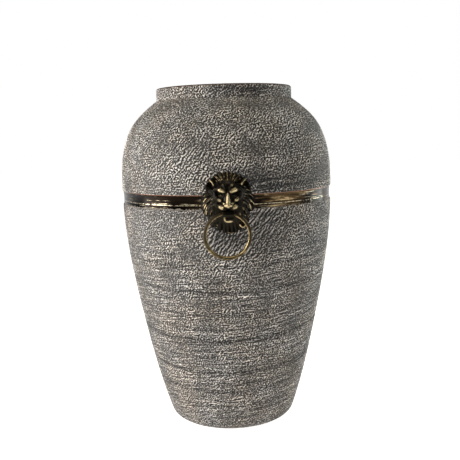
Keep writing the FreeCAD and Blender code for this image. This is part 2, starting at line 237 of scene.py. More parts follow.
@dataclass(frozen=True)
class StrokeWaves:
    """A field of short strokes on a turned surface, as a sum of helical waves.

    Each wave is cos(m a + q s + p), with a the angle round the vase, s the length along its side and
    m a whole number, so the field closes round the vase. A wave fades where m / radius leaves its own
    pitch, steeper strokes are made up for that, and the sum is divided by its spread, so the strokes
    keep their size and their mix of directions from foot to collar.
    """

    seed: int
    count: int
    pitch: float
    pitch_spread: float
    direction: float
    direction_spread: float
    radii: Pair = (62.0, 140.0)
    fade_share: float = 0.13

    def field(self, length: Array, radius: Array, angle: Array) -> Array:
        """Works out the field on a grid.

        Args:
            length: length along the side of each row.
            radius: radius of each row.
            angle: angle of each column, in radians.

        Returns:
            Rows by columns, with a spread of about 1.
        """
        source = np.random.default_rng(self.seed)
        home = source.uniform(*self.radii, self.count)
        rate = TURN / self.pitch * np.exp(source.normal(0.0, self.pitch_spread, self.count))
        lean = np.radians(self.direction + 90.0 + source.normal(0.0, self.direction_spread, self.count))
        whole = np.round(rate * np.cos(lean) * home)
        climb = rate * np.sin(lean)
        phase = source.uniform(0.0, TURN, self.count)
        drift = (whole / radius[:, None] - whole / home) * self.pitch / (self.fade_share * TURN)
        narrow = (self.radii[1] - self.radii[0]) / (math.sqrt(math.pi) * self.fade_share * home.mean())
        balance = (1.0 + (np.cos(lean) * narrow) ** 2) ** 0.25
        weight = balance * np.exp(-0.5 * drift * drift)
        weight /= np.sqrt(0.5 * (weight * weight).sum(axis=1, keepdims=True) + 1e-9)
        along = length[:, None] * climb + phase
        turn = whole[:, None] * angle[None, :]
        return (weight * np.cos(along)) @ np.cos(turn) - (weight * np.sin(along)) @ np.sin(turn)


@dataclass(frozen=True)
class Outline:
    """The vase's side: a base edge, then a smooth curve through shares of height and radius."""

    overall_height: float = 400.0
    greatest_radius: float = 125.5
    collar_radius: float = 80.5
    collar_height: float = 14.0
    foot_plane: float = 1.0
    foot_radius: float = 63.0
    base_edge_radius: float = 14.5
    recess_radius: float = 50.0
    recess_depth: float = 2.0
    side_lean: float = 0.306
    wall: float = 7.0
    rim_rounding: float = 2.6
    edge_steps: int = 24
    side_shares: tuple[Pair, ...] = (
        (0.155, 0.728), (0.310, 0.835), (0.520, 0.952), (0.640, 0.991), (0.730, 1.000),
        (0.800, 0.994), (0.870, 0.955), (0.930, 0.870), (0.970, 0.757),
    )
    table: Array = field(init=False, repr=False, compare=False)

    def __post_init__(self) -> None:
        """Lays the side's table of length, radius and height."""
        edge = self.edge_points(self.base_edge_radius, self.edge_steps)
        side = np.vstack([edge[:-1], self.side_curve()])
        steps = np.linalg.norm(np.diff(side, axis=0), axis=1)
        length = np.concatenate([[0.0], np.cumsum(steps)])
        object.__setattr__(self, "table", np.column_stack([length, side]))

    @property
    def shoulder_height(self) -> float:
        """Height at which the side meets the collar."""
        return self.overall_height - self.collar_height

    @property
    def full_length(self) -> float:
        """Length of the side, from the foot's flat to the collar."""
        return float(self.table[-1, 0])

    def edge_points(self, radius: float, steps: int) -> Array:
        """Points of an arc about the base edge's centre, as radius and height.

        Args:
            radius: the arc's radius.
            steps: number of points.

        Returns:
            Points from straight down to where the side leaves the edge.
        """
        angle = np.linspace(-math.pi / 2, -math.atan(self.side_lean), steps)
        middle = self.foot_plane + self.base_edge_radius
        return np.column_stack([self.foot_radius + radius * np.cos(angle), middle + radius * np.sin(angle)])

    def side_curve(self, steps: int = 2400) -> Array:
        """Samples a cubic spline through the side's points, by chord length.

        Its bends at the points solve the usual three-term equations, with the bends at the two ends
        equal to their neighbours'.

        Args:
            steps: number of samples.

        Returns:
            Rows of radius and height.
        """
        rise = self.shoulder_height - self.foot_plane
        shares = [(self.greatest_radius * r, self.foot_plane + rise * z) for z, r in self.side_shares]
        start = tuple(self.edge_points(self.base_edge_radius, 2)[-1])
        points = np.array([start, *shares, (self.collar_radius, self.shoulder_height)])
        gaps = np.linalg.norm(np.diff(points, axis=0), axis=1)
        knots = np.concatenate([[0.0], np.cumsum(gaps)])
        count = len(points)
        matrix = np.zeros((count, count))
        right = np.zeros((count, 2))
        inner = np.arange(1, count - 1)
        matrix[inner, inner - 1] = gaps[:-1]
        matrix[inner, inner] = 2.0 * (gaps[:-1] + gaps[1:])
        matrix[inner, inner + 1] = gaps[1:]
        right[1:-1] = 6.0 * np.diff(np.diff(points, axis=0) / gaps[:, None], axis=0)
        matrix[0, :2] = (1.0, -1.0)
        matrix[-1, -2:] = (-1.0, 1.0)
        bends = np.linalg.solve(matrix, right)
        spots = np.linspace(0.0, knots[-1], steps)
        part = np.clip(np.searchsorted(knots, spots, side="right") - 1, 0, count - 2)
        gap = gaps[part][:, None]
        ahead = (spots - knots[part])[:, None]
        behind = gap - ahead
        return (
            (bends[part] * behind**3 + bends[part + 1] * ahead**3) / (6.0 * gap)
            + (points[part] / gap - bends[part] * gap / 6.0) * behind
            + (points[part + 1] / gap - bends[part + 1] * gap / 6.0) * ahead
        )

    def radius_at(self, height: Array | float) -> Array:
        """Outside radius of the side at a height."""
        return np.interp(height, self.table[:, 2], self.table[:, 1])

    def length_at(self, height: Array | float) -> Array:
        """Length along the side, from the foot's flat, at a height."""
        return np.interp(height, self.table[:, 2], self.table[:, 0])

    def section(self, length: Array, depth: Array | float) -> tuple[Array, Array]:
        """Radius and height at lengths along the side, a depth behind it.

        Args:
            length: lengths from the foot's flat.
            depth: how far behind the surface, square to it.

        Returns:
            The radii and the heights.
        """
        table = self.table
        place = [np.interp(length, table[:, 0], table[:, column]) for column in (1, 2)]
        ahead = [np.interp(length + 0.5, table[:, 0], table[:, column]) for column in (1, 2)]
        behind = [np.interp(length - 0.5, table[:, 0], table[:, column]) for column in (1, 2)]
        run_r, run_z = ahead[0] - behind[0], ahead[1] - behind[1]
        size = np.hypot(run_r, run_z)
        return place[0] - depth * run_z / size, place[1] + depth * run_r / size


def turned_grid(radius: Array, height: Array, angle: Array) -> Array:
    """Lays radii and heights round the axis: (r sin a, -r cos a, z).

    Args:
        radius: one for each row, or rows by columns.
        height: the same.
        angle: angle of each column, 0 in front and growing to the right.

    Returns:
        Rows by columns by three.
    """
    if radius.ndim == 1:
        radius, height = radius[:, None], height[:, None]
    across = radius * np.sin(angle)
    return np.stack([across, -radius * np.cos(angle), height + np.zeros_like(across)], axis=-1)


def even_angles(count: int) -> Array:
    """Angles spaced evenly round the vase, in radians."""
    return np.arange(count) * TURN / count


def backed_ring(
    front: tuple[Array, Array], back: tuple[Array, Array],
    angle: Array, values: dict[str, Array],
) -> Surface:
    """Closes the worked front rows of a ring with plain back rows.

    Args:
        front: radii and heights of the front, each rows by columns or rows by one.
        back: radii and heights of the back rows.
        angle: angle of each column.
        values: numbers for the front's points, by attribute name, which are 0 behind.

    Returns:
        The ring, with sharp edges where front and back meet.
    """
    wide = np.ones(len(angle))
    radius, height = (np.vstack([lead * wide, rear[:, None] * wide]) for lead, rear in zip(front, back))
    behind = np.zeros((len(back[0]), len(angle)))
    last = len(front[0]) - 1
    return Surface().add_grid(
        turned_grid(radius, height, angle), creases=(0, last, last + 1, last + len(behind)),
        values={name: np.vstack([value * wide, behind]) for name, value in values.items()})


@dataclass(frozen=True)
class CoatPatch:
    """A place on the coat that was combed, toned or rubbed otherwise than the rest; some toned places are
    painted shade and light.
    """

    angle: float
    height: float
    angle_reach: float
    height_reach: float
    strength: float

    def spot(self, degrees: Array, height: Array) -> Array:
        """How much of the patch's treatment each place gets: the strength times two bells."""
        turn = bell((degrees - self.angle + 180.0) % 360.0 - 180.0, 0.0, self.angle_reach)
        return self.strength * turn * bell(height, self.height, self.height_reach)


def patches(*rows: tuple[float, ...]) -> tuple[CoatPatch, ...]:
    """Patches from rows of angle, height, both reaches and strength."""
    return tuple(CoatPatch(*row) for row in rows)


@dataclass(frozen=True)
class StrokeFamily:
    """Strokes of one direction, the patches where they lie, and their share high up and low down."""

    waves: StrokeWaves
    patches: StrokeWaves
    high_share: float
    low_share: float
    laid_range: Pair = (-1.3, 1.2)
    bare_share: float = 0.15

    def laid(self, length: Array, radius: Array, angle: Array, low: Array) -> tuple[Array, Array]:
        """Works out the family's strokes and their share of the coat.

        Args:
            length: length along the side of each row.
            radius: radius of each row.
            angle: angle of each column.
            low: 0 high up and 1 low down, for each row.

        Returns:
            The strokes' field and their share, rows by columns.
        """
        laid = smooth_step(*self.laid_range, self.patches.field(length, radius, angle))
        share = self.high_share * (1.0 - low) + self.low_share * low
        share = share * (self.bare_share + (1.0 - self.bare_share) * laid)
        return self.waves.field(length, radius, angle), share


def patch_waves(seed: int) -> StrokeWaves:
    """Slow waves that say where one family of strokes lies."""
    return StrokeWaves(seed, 70, 19.0, 0.40, 20.0, 60.0, fade_share=0.5)


@dataclass(frozen=True)
class CoatTexture:
    """How the coat was worked.

    The strokes are hatched in families, with level scratches low down. The combed patches have long
    slanting strokes, the toned ones are darker, or paler below 0, and the rubbed ones have weaker
    strokes. Some toned patches are the coat's own tone; the dark ones next to the mask are painted
    shadow of the mask and ring, the wide dark one at 27 degrees is painted shade on the side away from
    the key light, and the pale ones on the left side are painted light. A dark level is a turning mark:
    its height, reach and depth.
    """

    relief: float = 0.85
    families: tuple[StrokeFamily, ...] = (
        StrokeFamily(StrokeWaves(11, 420, 2.5, 0.30, 0.0, 90.0), patch_waves(41), 0.70, 0.60),
        StrokeFamily(StrokeWaves(18, 420, 1.95, 0.20, 0.0, 90.0), patch_waves(42), 0.60, 0.85),
        StrokeFamily(StrokeWaves(12, 360, 2.5, 0.32, 48.0, 18.0), patch_waves(43), 0.75, 0.60),
        StrokeFamily(StrokeWaves(20, 300, 2.4, 0.32, 122.0, 18.0), patch_waves(44), 0.40, 0.35),
        StrokeFamily(StrokeWaves(13, 320, 2.5, 0.36, 3.0, 8.0), patch_waves(45), 0.55, 1.05),
    )
    slant: StrokeWaves = StrokeWaves(14, 320, 3.0, 0.32, 52.0, 15.0)
    broken: StrokeWaves = StrokeWaves(19, 200, 9.0, 0.40, 20.0, 60.0, fade_share=0.4)
    streaks: StrokeWaves = StrokeWaves(15, 160, 7.0, 0.35, 2.5, 3.0)
    clouds: StrokeWaves = StrokeWaves(16, 60, 44.0, 0.35, 0.0, 90.0, fade_share=0.5)
    combed: tuple[CoatPatch, ...] = patches(
        (2.0, 238.0, 13.0, 24.0, 1.9), (17.0, 252.0, 12.0, 20.0, 1.5), (-18.0, 325.0, 16.0, 22.0, 0.7),
        (182.0, 230.0, 20.0, 36.0, 1.7), (110.0, 300.0, 26.0, 30.0, 0.9), (-120.0, 240.0, 24.0, 30.0, 1.2),
    )
    # Dark patches next to the mask (angles 0 to 44, heights 232 to 306) are painted shadow of the mask and
    # ring; (27, 175) is painted shade on the side away from the key light; the pale ones at -32 to -52
    # degrees are painted light.
    toned_and_shaded: tuple[CoatPatch, ...] = patches(
        (24.0, 392.0, 16.0, 5.0, 1.5), (18.0, 398.0, 30.0, 9.0, 0.45), (3.0, 396.0, 8.0, 3.0, 1.0),
        (-62.0, 393.0, 18.0, 4.0, 0.9), (0.0, 238.0, 9.0, 15.0, 1.9), (16.0, 232.0, 8.0, 22.0, 1.2),
        (22.0, 259.0, 12.0, 7.0, 1.3), (30.0, 240.0, 7.0, 14.0, 0.7), (8.0, 306.0, 12.0, 9.0, 0.8),
        (20.0, 292.0, 16.0, 13.0, 2.3), (44.0, 300.0, 16.0, 22.0, 1.0), (150.0, 391.0, 22.0, 5.0, 1.2),
        (200.0, 235.0, 14.0, 20.0, 0.9), (-110.0, 310.0, 18.0, 14.0, 0.8), (27.0, 175.0, 17.0, 110.0, 0.36),
        (-32.0, 65.0, 22.0, 55.0, -0.34), (-52.0, 345.0, 14.0, 34.0, -0.34),
        (-50.0, 160.0, 13.0, 70.0, -0.30), (0.0, 10.0, 30.0, 16.0, -0.25),
    )
    rubbed: tuple[CoatPatch, ...] = patches(
        (-54.0, 200.0, 28.0, 190.0, 0.42), (140.0, 250.0, 24.0, 120.0, 0.2))
    dark_levels: tuple[Triple, ...] = (
        (177.0, 2.0, 1.1), (119.0, 2.6, 1.7), (80.0, 1.8, 1.4), (55.0, 1.6, 1.2), (205.0, 1.5, 0.8),
        (218.0, 1.2, 0.8), (150.0, 1.3, 0.9), (98.0, 1.2, 0.9), (36.0, 1.4, 0.8), (134.0, 1.1, 0.8),
    )
    low_heights: Pair = (165.0, 262.0)
    slant_cover: float = 0.45
    broken_shares: Pair = (0.95, 0.45)
    gain: Pair = (1.65, 0.4)
    offset: float = 0.22
    worn_range: Pair = (-1.2, 0.8)
    mark_sway: Triple = (2.2, 0.6, 9.0)
    mark_depth: float = 0.22
    mark_tone: float = 0.7
    cloud_tone: float = 0.26
    streak_tone: float = 0.45
    toned_shares: Pair = (0.45, 0.55)
    strength_shares: Triple = (0.89, 0.16, 0.22)
    neck_heights: Triple = (366.0, 378.0, 386.5)
    neck_loss: float = 0.45
    foot_heights: Pair = (4.0, 40.0)
    foot_loss: float = 0.4

    def strokes(self, low: Array, slanting: Array, place: tuple[Array, Array, Array]) -> Array:
        """Adds up the strokes: tanh(g b h / s - offset).

        h is the sum of the slanting strokes and the families, each times its share, and s is the
        root of the sum of the shares' squares. b makes the strokes stronger and weaker from place to
        place, and g is the gain, which is a little greater low down.

        Args:
            low: 0 high up and 1 low down.
            slanting: how far each place is combed.
            place: length and radius of each row, and angle of each column.

        Returns:
            Strokes from -1 in the hollows to 1 on the tops.
        """
        total = slanting * self.slant.field(*place)
        spread = slanting**2
        for family in self.families:
            waves, share = family.laid(*place, low)
            share = share * (1.0 - self.slant_cover * np.minimum(slanting, 1.0))
            total += share * waves
            spread = spread + share * share
        broken = self.broken_shares[0] + self.broken_shares[1] * np.tanh(self.broken.field(*place))
        gain = self.gain[0] + self.gain[1] * low
        return np.tanh(gain * broken * total / np.sqrt(spread) - self.offset)

    def marks(self, height: Array, angle: Array, worn: Array) -> Array:
        """Adds up the turning marks, which sway and sink a little to the back.

        Args:
            height: height of each row.
            angle: angle of each column.
            worn: how plain a mark is at each place, from 0 to 1.

        Returns:
            Their depth, rows by columns.
        """
        marks = np.zeros_like(worn)
        sway, turn, sink = self.mark_sway
        for middle, reach, depth in self.dark_levels:
            level = middle + sway * np.sin(angle - turn) + sink * np.abs(np.sin(angle / 2.0))
            marks += depth * bell(height - level, 0.0, reach) * worn
        return marks

    def work(self, length: Array, radius: Array, height: Array, angle: Array) -> tuple[Array, Array]:
        """Works out the coat on a grid.

        The strokes' height is 0.5 + 0.5 k t, t being the strokes and k their strength, less the
        turning marks. The strength follows the clouds and the combed patches, and is less in the
        rubbed ones, below the collar and at the foot. The tone is clouds and, low down, level
        streaks, less the marks and the toned patches, some of which are painted shadow, shade and light.

        Args:
            length: length along the side of each row.
            radius: radius of each row.
            height: height of each row.
            angle: angle of each column.

        Returns:
            Stroke height from 0 to 1, and tone, about 0, positive where paler.
        """
        place = (length, radius, angle)
        height = height[:, None]
        degrees = np.degrees(angle)[None, :]
        low = 1.0 - smooth_step(*self.low_heights, height)
        slanting = np.max([patch.spot(degrees, height) for patch in self.combed], axis=0)
        toned_and_shaded, rubbed = (
            sum(patch.spot(degrees, height) for patch in group) for group in (self.toned_and_shaded, self.rubbed))
        strokes = self.strokes(low, slanting, place)
        clouds, streaks = self.clouds.field(*place), self.streaks.field(*place)
        worn = smooth_step(*self.worn_range, streaks + 0.5 * clouds)
        marks = self.marks(height, angle, worn)
        tone = self.cloud_tone * clouds + self.streak_tone * low * streaks - self.mark_tone * marks
        # The toned patches darken or pale the coat; some of them are painted shadow, shade and light.
        tone = tone - toned_and_shaded * (self.toned_shares[0] + self.toned_shares[1] * worn)
        plain, cloudy, slanted = self.strength_shares
        strength = (plain + cloudy * clouds + slanted * np.minimum(slanting, 1.0)) * (1.0 - rubbed)
        neck = smooth_step(*self.neck_heights[:2], height) * (height < self.neck_heights[2])
        foot = 1.0 - smooth_step(*self.foot_heights, height)
        strength = strength * (1.0 - self.neck_loss * neck) * (1.0 - self.foot_loss * foot)
        return np.clip(0.5 + 0.5 * strokes * strength - self.mark_depth * marks, 0.0, 1.0), tone


@dataclass(frozen=True)
class CoatRing:
    """One closed ring of the coat, between two lengths along the side."""

    name: str
    start: float
    end: float
    rows: int
    start_drop: tuple[Pair, ...] = ()
    end_drop: tuple[Pair, ...] = ()

    def rows_and_drops(self) -> tuple[Array, Array]:
        """Lays the front rows.

        Returns:
            Their lengths, and how far each is let down below the coat's surface.
        """
        length = np.linspace(self.start, self.end, self.rows)
        drop = np.zeros(self.rows)
        for run, depth in self.start_drop[::-1]:
            length = np.insert(length, 0, self.start - run)
            drop = np.insert(drop, 0, depth)
        for run, depth in self.end_drop:
            length = np.append(length, self.end + run)
            drop = np.append(drop, depth)
        return length, drop


@dataclass(frozen=True)
class Coat:
    """The clay coat below and above the band, in rings."""

    outline: Outline
    texture: CoatTexture
    material: Material
    columns: int = 1080
    thickness: float = 3.0
    back_rows: int = 4

    def ring(self, plan: CoatRing) -> Object:
        """Builds one ring: worked front rows, then a plain back.

        Args:
            plan: where the ring lies.

        Returns:
            The ring's object.
        """
        angle = even_angles(self.columns)
        length, drop = plan.rows_and_drops()
        strokes, tone = self.texture.work(length, *self.outline.section(length, 0.0), angle)
        depth = drop[:, None] + self.texture.relief * (1.0 - strokes)
        front = self.outline.section(length[:, None] + 0.0 * depth, depth)
        back = self.outline.section(np.linspace(length[-1], length[0], self.back_rows), self.thickness)
        # The tone attribute also carries the painted shadow, shade and light of some toned patches.
        surface = backed_ring(front, back, angle, {"stroke": strokes, "tone": tone})
        return surface.build(plan.name, self.material)


@dataclass(frozen=True)
class BandSize:
    """The sunk glazed band; a gilt place is an angle, its reach and its share. The one at 32 degrees also
    paints the reflection on the band's front right.
    """

    middle: float = 274.3
    height: float = 16.8
    depth: float = 1.1
    lower_slope: float = 1.3
    columns: int = 720
    rows: int = 48
    thickness: float = 4.0
    hollow: float = 0.7
    unevenness: float = 0.03
    under_coat: Pair = (0.4, 0.6)
    lift: float = 0.05
    ripples: StrokeWaves = StrokeWaves(31, 160, 5.0, 0.6, 0.8, 2.6, fade_share=0.6)
    # Gilt places; the one at 32 degrees, right of the mask, is partly painted reflection.
    gilt_and_sheen: tuple[Triple, ...] = ((32.0, 9.0, 1.0), (160.0, 24.0, 0.7), (265.0, 20.0, 0.6))

    @property
    def low(self) -> float:
        """Height of the band's lower edge."""
        return self.middle - self.height / 2

    @property
    def high(self) -> float:
        """Height of the band's upper edge."""
        return self.middle + self.height / 2


@dataclass(frozen=True)
class Band:
    """The smooth glazed ring between the two coats."""

    outline: Outline
    size: BandSize
    material: Material

    def build(self) -> Object:
        """Builds the band: a shallow cove, deepest in its middle, with slight waves from the turning.

        Its attributes are the level from the lower edge to the upper one, the waves, and how gilt the glaze
        is round the vase, which near the front right is partly painted reflection.

        Returns:
            The band's object.
        """
        size = self.size
        angle = even_angles(size.columns)
        height = np.linspace(size.low - size.under_coat[0], size.high + size.under_coat[1], size.rows)
        radius = self.outline.radius_at(height)
        wave = np.tanh(size.ripples.field(self.outline.length_at(height), radius, angle))
        cove = size.hollow * (1.0 - ((height - size.middle) / (size.height / 2)) ** 2)
        front = (radius - size.depth + size.lift - cove)[:, None] - size.unevenness * (1.0 + wave)
        back = radius[[-1, 0]] - size.depth - size.thickness
        level = ((height - size.low) / size.height)[:, None]
        gilt_and_sheen = sum(share * bell(np.degrees(angle), place, reach) for place, reach, share in size.gilt_and_sheen)
        values = {"level": level, "wave": wave, "gilt_and_sheen": gilt_and_sheen * np.ones_like(level)}
        ring = backed_ring((front, height[:, None]), (back, height[[-1, 0]]), angle, values)
        return ring.build("glazed_band", self.material)


@dataclass(frozen=True)
class Collar:
    """The worked collar with its glazed rim, the glaze inside the vase, and its foot.

    Edges are how far in from the collar's outside, or down from its top, one finish fades into another.
    """

    outline: Outline
    texture: CoatTexture
    coat: Material
    inside: Material
    clay: Material
    columns: int = 960
    plain_columns: int = 144
    wall_rows: int = 17
    bend_rows: int = 7
    under_shoulder: float = 2.0
    bore_drop: float = 3.0
    worked_edge: Pair = (2.2, 0.6)
    glazed_top: Pair = (2.2, 0.7)
    glazed_bore: Pair = (3.0, 3.6)
    smooth_share: float = 0.1
    shell: float = 1.5
    shell_rows: int = 60
    shell_edge_rows: int = 8
    shell_ends: Pair = (2.0, 6.0)
    shell_floor: Pair = (2.0, 30.0)
    shell_bore: Pair = (-3.0, 4.0)

    def collar(self) -> Object:
        """Builds the collar as a closed ring: outside, rounded rim, bore and a hidden lower face.

        Returns:
            The collar's object.
        """
        line = self.outline
        outer, inner = line.collar_radius, line.collar_radius - line.wall
        top, rounding = line.overall_height, line.rim_rounding
        bend = np.radians(np.linspace(0.0, 90.0, self.bend_rows))
        low = line.shoulder_height - self.under_shoulder
        radius = np.concatenate([
            np.full(self.wall_rows, outer), outer - rounding + rounding * np.cos(bend[1:]),
            inner + rounding - rounding * np.sin(bend), np.full(self.bend_rows, inner),
        ])
        height = np.concatenate([
            np.linspace(low, top - rounding, self.wall_rows), top - rounding + rounding * np.sin(bend[1:]),
            top - rounding + rounding * np.cos(bend),
            np.linspace(top - rounding - 1.0, low - self.bore_drop, self.bend_rows),
        ])
        run = np.concatenate([[0.0], np.cumsum(np.hypot(np.diff(radius), np.diff(height)))])
        angle = even_angles(self.columns)
        length = line.full_length - self.under_shoulder + run
        strokes, tone = self.texture.work(length, radius, height, angle)
        outside = smooth_step(*(outer - edge for edge in self.worked_edge), radius)[:, None]
        crown = np.maximum(
            smooth_step(*(top - edge for edge in self.glazed_top), height),
            smooth_step(*(outer - edge for edge in self.glazed_bore), radius))
        depth = self.texture.relief * (1.0 - strokes)
        depth = depth * (self.smooth_share + (1.0 - self.smooth_share) * outside)
        away_r, away_z = np.gradient(height, run), -np.gradient(radius, run)
        size = np.hypot(away_r, away_z)
        grid = turned_grid(
            radius[:, None] - depth * (away_r / size)[:, None],
            height[:, None] - depth * (away_z / size)[:, None], angle)
        values = {
            "stroke": strokes * outside + 0.5 * (1.0 - outside), "tone": tone,
            "edge": crown[:, None] + 0.0 * tone,
        }
        return Surface().add_grid(grid, creases=(0, len(run) - 1), values=values).build("collar", self.coat)

    def inside_shell(self) -> Object:
        """Builds the glaze inside, a thin closed bowl from the collar's bore to the floor.

        Returns:
            The shell's object.
        """
        line = self.outline
        low, high = self.shell_ends
        length = np.linspace(
            line.table[line.edge_steps, 0] + low, line.full_length - high, self.shell_rows)
        sheets = []
        for depth in (line.wall, line.wall - self.shell):
            radius, height = line.section(length, depth)
            edge = line.edge_points(line.base_edge_radius - depth, self.shell_edge_rows)
            bore = line.collar_radius - depth
            floor = line.foot_plane + depth
            rise = [line.shoulder_height + step for step in self.shell_bore]
            sheets.append((
                np.concatenate([self.shell_floor, edge[:, 0], radius, [bore, bore]]),
                np.concatenate([[floor, floor], edge[:, 1], height, rise])))
        radii, levels = (np.concatenate([inner, outer[::-1]]) for inner, outer in zip(*sheets))
        grid = turned_grid(radii, levels, even_angles(self.plain_columns))
        half = len(sheets[0][0])
        surface = Surface().add_grid(grid, poles=True, creases=(half - 1, half))
        return surface.build("inside_glaze", self.inside)

    def foot(self) -> Object:
        """Builds the bare underside: a flat ring round a shallow recess.

        Returns:
            The foot's object.
        """
        line = self.outline
        low, recess = line.foot_plane, line.foot_plane + line.recess_depth
        hollow, rim = line.recess_radius, line.foot_radius
        radii, levels = np.array([
            (2.0, recess), (hollow, recess), (hollow + 0.4, low + 0.5), (hollow + 1.0, low), (rim, low),
            (rim + 1.0, low + 0.1), (rim + 1.0, recess + 3.0), (2.0, recess + 3.0),
        ]).T
        grid = turned_grid(radii, levels, even_angles(self.plain_columns))
        return Surface().add_grid(grid, poles=True, creases=(1, 4, 6)).build("foot", self.clay)


@dataclass(frozen=True)
class FeltSize:
    """The felt discs under the foot; a disc's profile is in shares of its radius and thickness."""

    thickness: float = 1.0
    radius: float = 5.45
    count: int = 4
    circle: float = 56.5
    columns: int = 48
    profile: tuple[Pair, ...] = (
        (0.2, 0.0), (0.6, 0.0), (0.9, 0.0), (0.98, 0.06), (1.0, 0.2), (1.0, 0.8), (0.98, 0.94),
        (0.9, 1.0), (0.6, 1.0), (0.2, 1.0),
    )

    def build(self, material: Material) -> Object:
        """Builds the discs, with a soft edge.

        Args:
            material: the felt's finish.

        Returns:
            The discs' object.
        """
        angle = even_angles(self.columns)
        radii, levels = (np.array(self.profile) * (self.radius, self.thickness)).T
        surface = Surface()
        for step in range(self.count):
            place = TURN * (step + 0.5) / self.count
            grid = turned_grid(radii, levels, angle)
            grid = grid + np.array([self.circle * math.cos(place), self.circle * math.sin(place), 0.0])
            surface.add_grid(grid, poles=True)
        return surface.build("felt_discs", material)


@dataclass(frozen=True)
class Ridge:
    """A raised bar of the mask along a bent line: radius, crest and wear, with any painted highlight, run
    from start to end.

    Lengths are from the mask's middle, across and up, and crests are heights over the coat.
    """

    start: Pair
    bend: Pair
    end: Pair
    radii: Pair
    crests: Pair
    wear_and_sheen: Pair = (0.1, 0.1)
    strands: int = 0
    fillet: float = 0.35
    steep: float = 2.2
    pieces: int = 10
    margin: Pair = (1.2, 4.5)
    round_share: float = 0.95
    groove: Pair = (0.42, 1.6)
    groove_wear: float = 0.2
    gain_range: Pair = (-0.5, 0.6)
    edge_shares: Pair = (0.75, 0.5)
    edge_wear: float = 0.25

    def mirrored(self) -> "Ridge":
        """The same bar on the other side of the face."""
        start, bend, end = ((-x, z) for x, z in (self.start, self.bend, self.end))
        return replace(self, start=start, bend=bend, end=end)

    def raise_on(self, across: Array, up: Array, relief: Array, wear_and_sheen: Array) -> None:
        """Joins the bar to a relief, in place.

        With d the distance to the line and r the bar's radius there, the height is
        crest - r (1 - sqrt(1 - (d / r)^2)) on the bar, and it falls steeply beyond. Strands are
        grooves along the bar, and the rubbing is stronger between them and away from its edges.

        Args:
            across: place of each point across the mask.
            up: place of each point up the mask.
            relief: heights so far.
            wear_and_sheen: rubbing, with any painted highlight, so far, from 0 to 1.
        """
        start, bend, end = (np.array(spot) for spot in (self.start, self.bend, self.end))
        share = np.linspace(0.0, 1.0, self.pieces + 1)[:, None]
        line = (1 - share) ** 2 * start + 2 * share * (1 - share) * bend + share**2 * end
        reach = max(self.radii) * self.margin[0] + self.margin[1]
        near = (
            (across > line[:, 0].min() - reach) & (across < line[:, 0].max() + reach)
            & (up > line[:, 1].min() - reach) & (up < line[:, 1].max() + reach)
        )
        spot = np.stack([across[near], up[near]], axis=-1)
        best = np.full(len(spot), 1e9)
        place = np.zeros(len(spot))
        side = np.zeros(len(spot))
        for step in range(self.pieces):
            run = line[step + 1] - line[step]
            away = spot - line[step]
            part = np.clip((away @ run) / (run @ run), 0.0, 1.0)
            gap = away - part[:, None] * run
            distance = np.hypot(gap[:, 0], gap[:, 1])
            closer = distance < best
            best = np.where(closer, distance, best)
            place = np.where(closer, (step + part) / self.pieces, place)
            side = np.where(closer, np.sign(run[0] * gap[:, 1] - run[1] * gap[:, 0]) * distance, side)
        radius, crest, rub = (
            first + (last - first) * place for first, last in (self.radii, self.crests, self.wear_and_sheen))
        ratio = best / radius
        round_part = radius * (1.0 - np.sqrt(1.0 - np.minimum(ratio, self.round_share) ** 2))
        height = crest - round_part - self.steep * np.maximum(best - self.round_share * radius, 0.0)
        if self.strands:
            groove = 0.5 - 0.5 * np.cos(TURN * self.strands * (side / (2.0 * radius) + 0.5))
            depth = self.groove[0] * (1.0 - groove) * (ratio < 1.0) * np.minimum(radius, self.groove[1])
            height = height - depth
            rub = rub * (self.groove_wear + (1.0 - self.groove_wear) * groove**3)
        before = relief[near]
        gain = smooth_step(*self.gain_range, height - before)
        edge = smooth_step(0.0, self.edge_shares[bool(self.strands)], np.clip(1.0 - ratio, 0.0, 1.0))
        rub = gain * rub * (self.edge_wear + (1.0 - self.edge_wear) * edge)
        wear_and_sheen[near] = wear_and_sheen[near] * (1.0 - gain) + rub
        relief[near] = smooth_union(before, height, self.fillet)


@dataclass(frozen=True)
class LionSize:
    """Where the mask sits and how its grid is laid.

    The dome is its height and its share of the mask's outline. What is cleared for the ring is its
    half width and its depth below the hinge, and a hump of the jaw is its height, middle and reach.
    A painted highlight of the jaw, part of the lit L along its left corner and lower lip, is its middle
    and reach along the strap and round the hinge line.
    """

    middle_height: float = 274.0
    half_width: float = 28.7
    half_height: float = 33.1
    centre_up: float = 2.0
    hinge_up: float = -9.7
    hinge_standoff: float = 11.5
    hole_radius: float = 2.83
    mouth_half_width: float = 5.45
    sunk: float = 1.2
    back_sunk: float = 2.0
    dome: Pair = (8.2, 0.82)
    rim_share: float = 0.965
    least_share: float = 0.004
    ring_clearance: float = 2.75
    free_drop: float = 0.55
    cleared: Pair = (17.0, 9.0)
    limit_fall: float = 0.24
    limit_edge: Pair = (0.5, 1.2)
    jaw_columns: int = 72
    jaw_wall: float = 4.5
    jaw_humps: tuple[Triple, ...] = ((0.7, 0.15, 0.5), (5.2, 1.35, 0.42), (-0.5, 0.72, 0.16), (1.4, 2.0, 0.4))
    strap_shares: tuple[float, ...] = (-1.0, -0.93, -0.75, -0.4, 0.0, 0.4, 0.75, 0.93, 1.0)
    hole_shares: tuple[float, ...] = (1.0, 0.5, 0.0, -0.5, -1.0)
    strap_fall: float = 0.10
    hole_inset: float = 0.1
    hole_flare: float = 0.25
    hole_wear: float = 0.3
    jaw_painted_highlights: tuple[tuple[Pair, Pair], ...] = (((-0.78, 0.16), (0.95, 0.22)), ((-0.1, 0.7), (1.15, 0.09)))
    jaw_gloss: Pair = (1.1, 0.1)
    jaw_front: Pair = (0.1, 0.3)
    columns: int = 420
    rows: int = 140


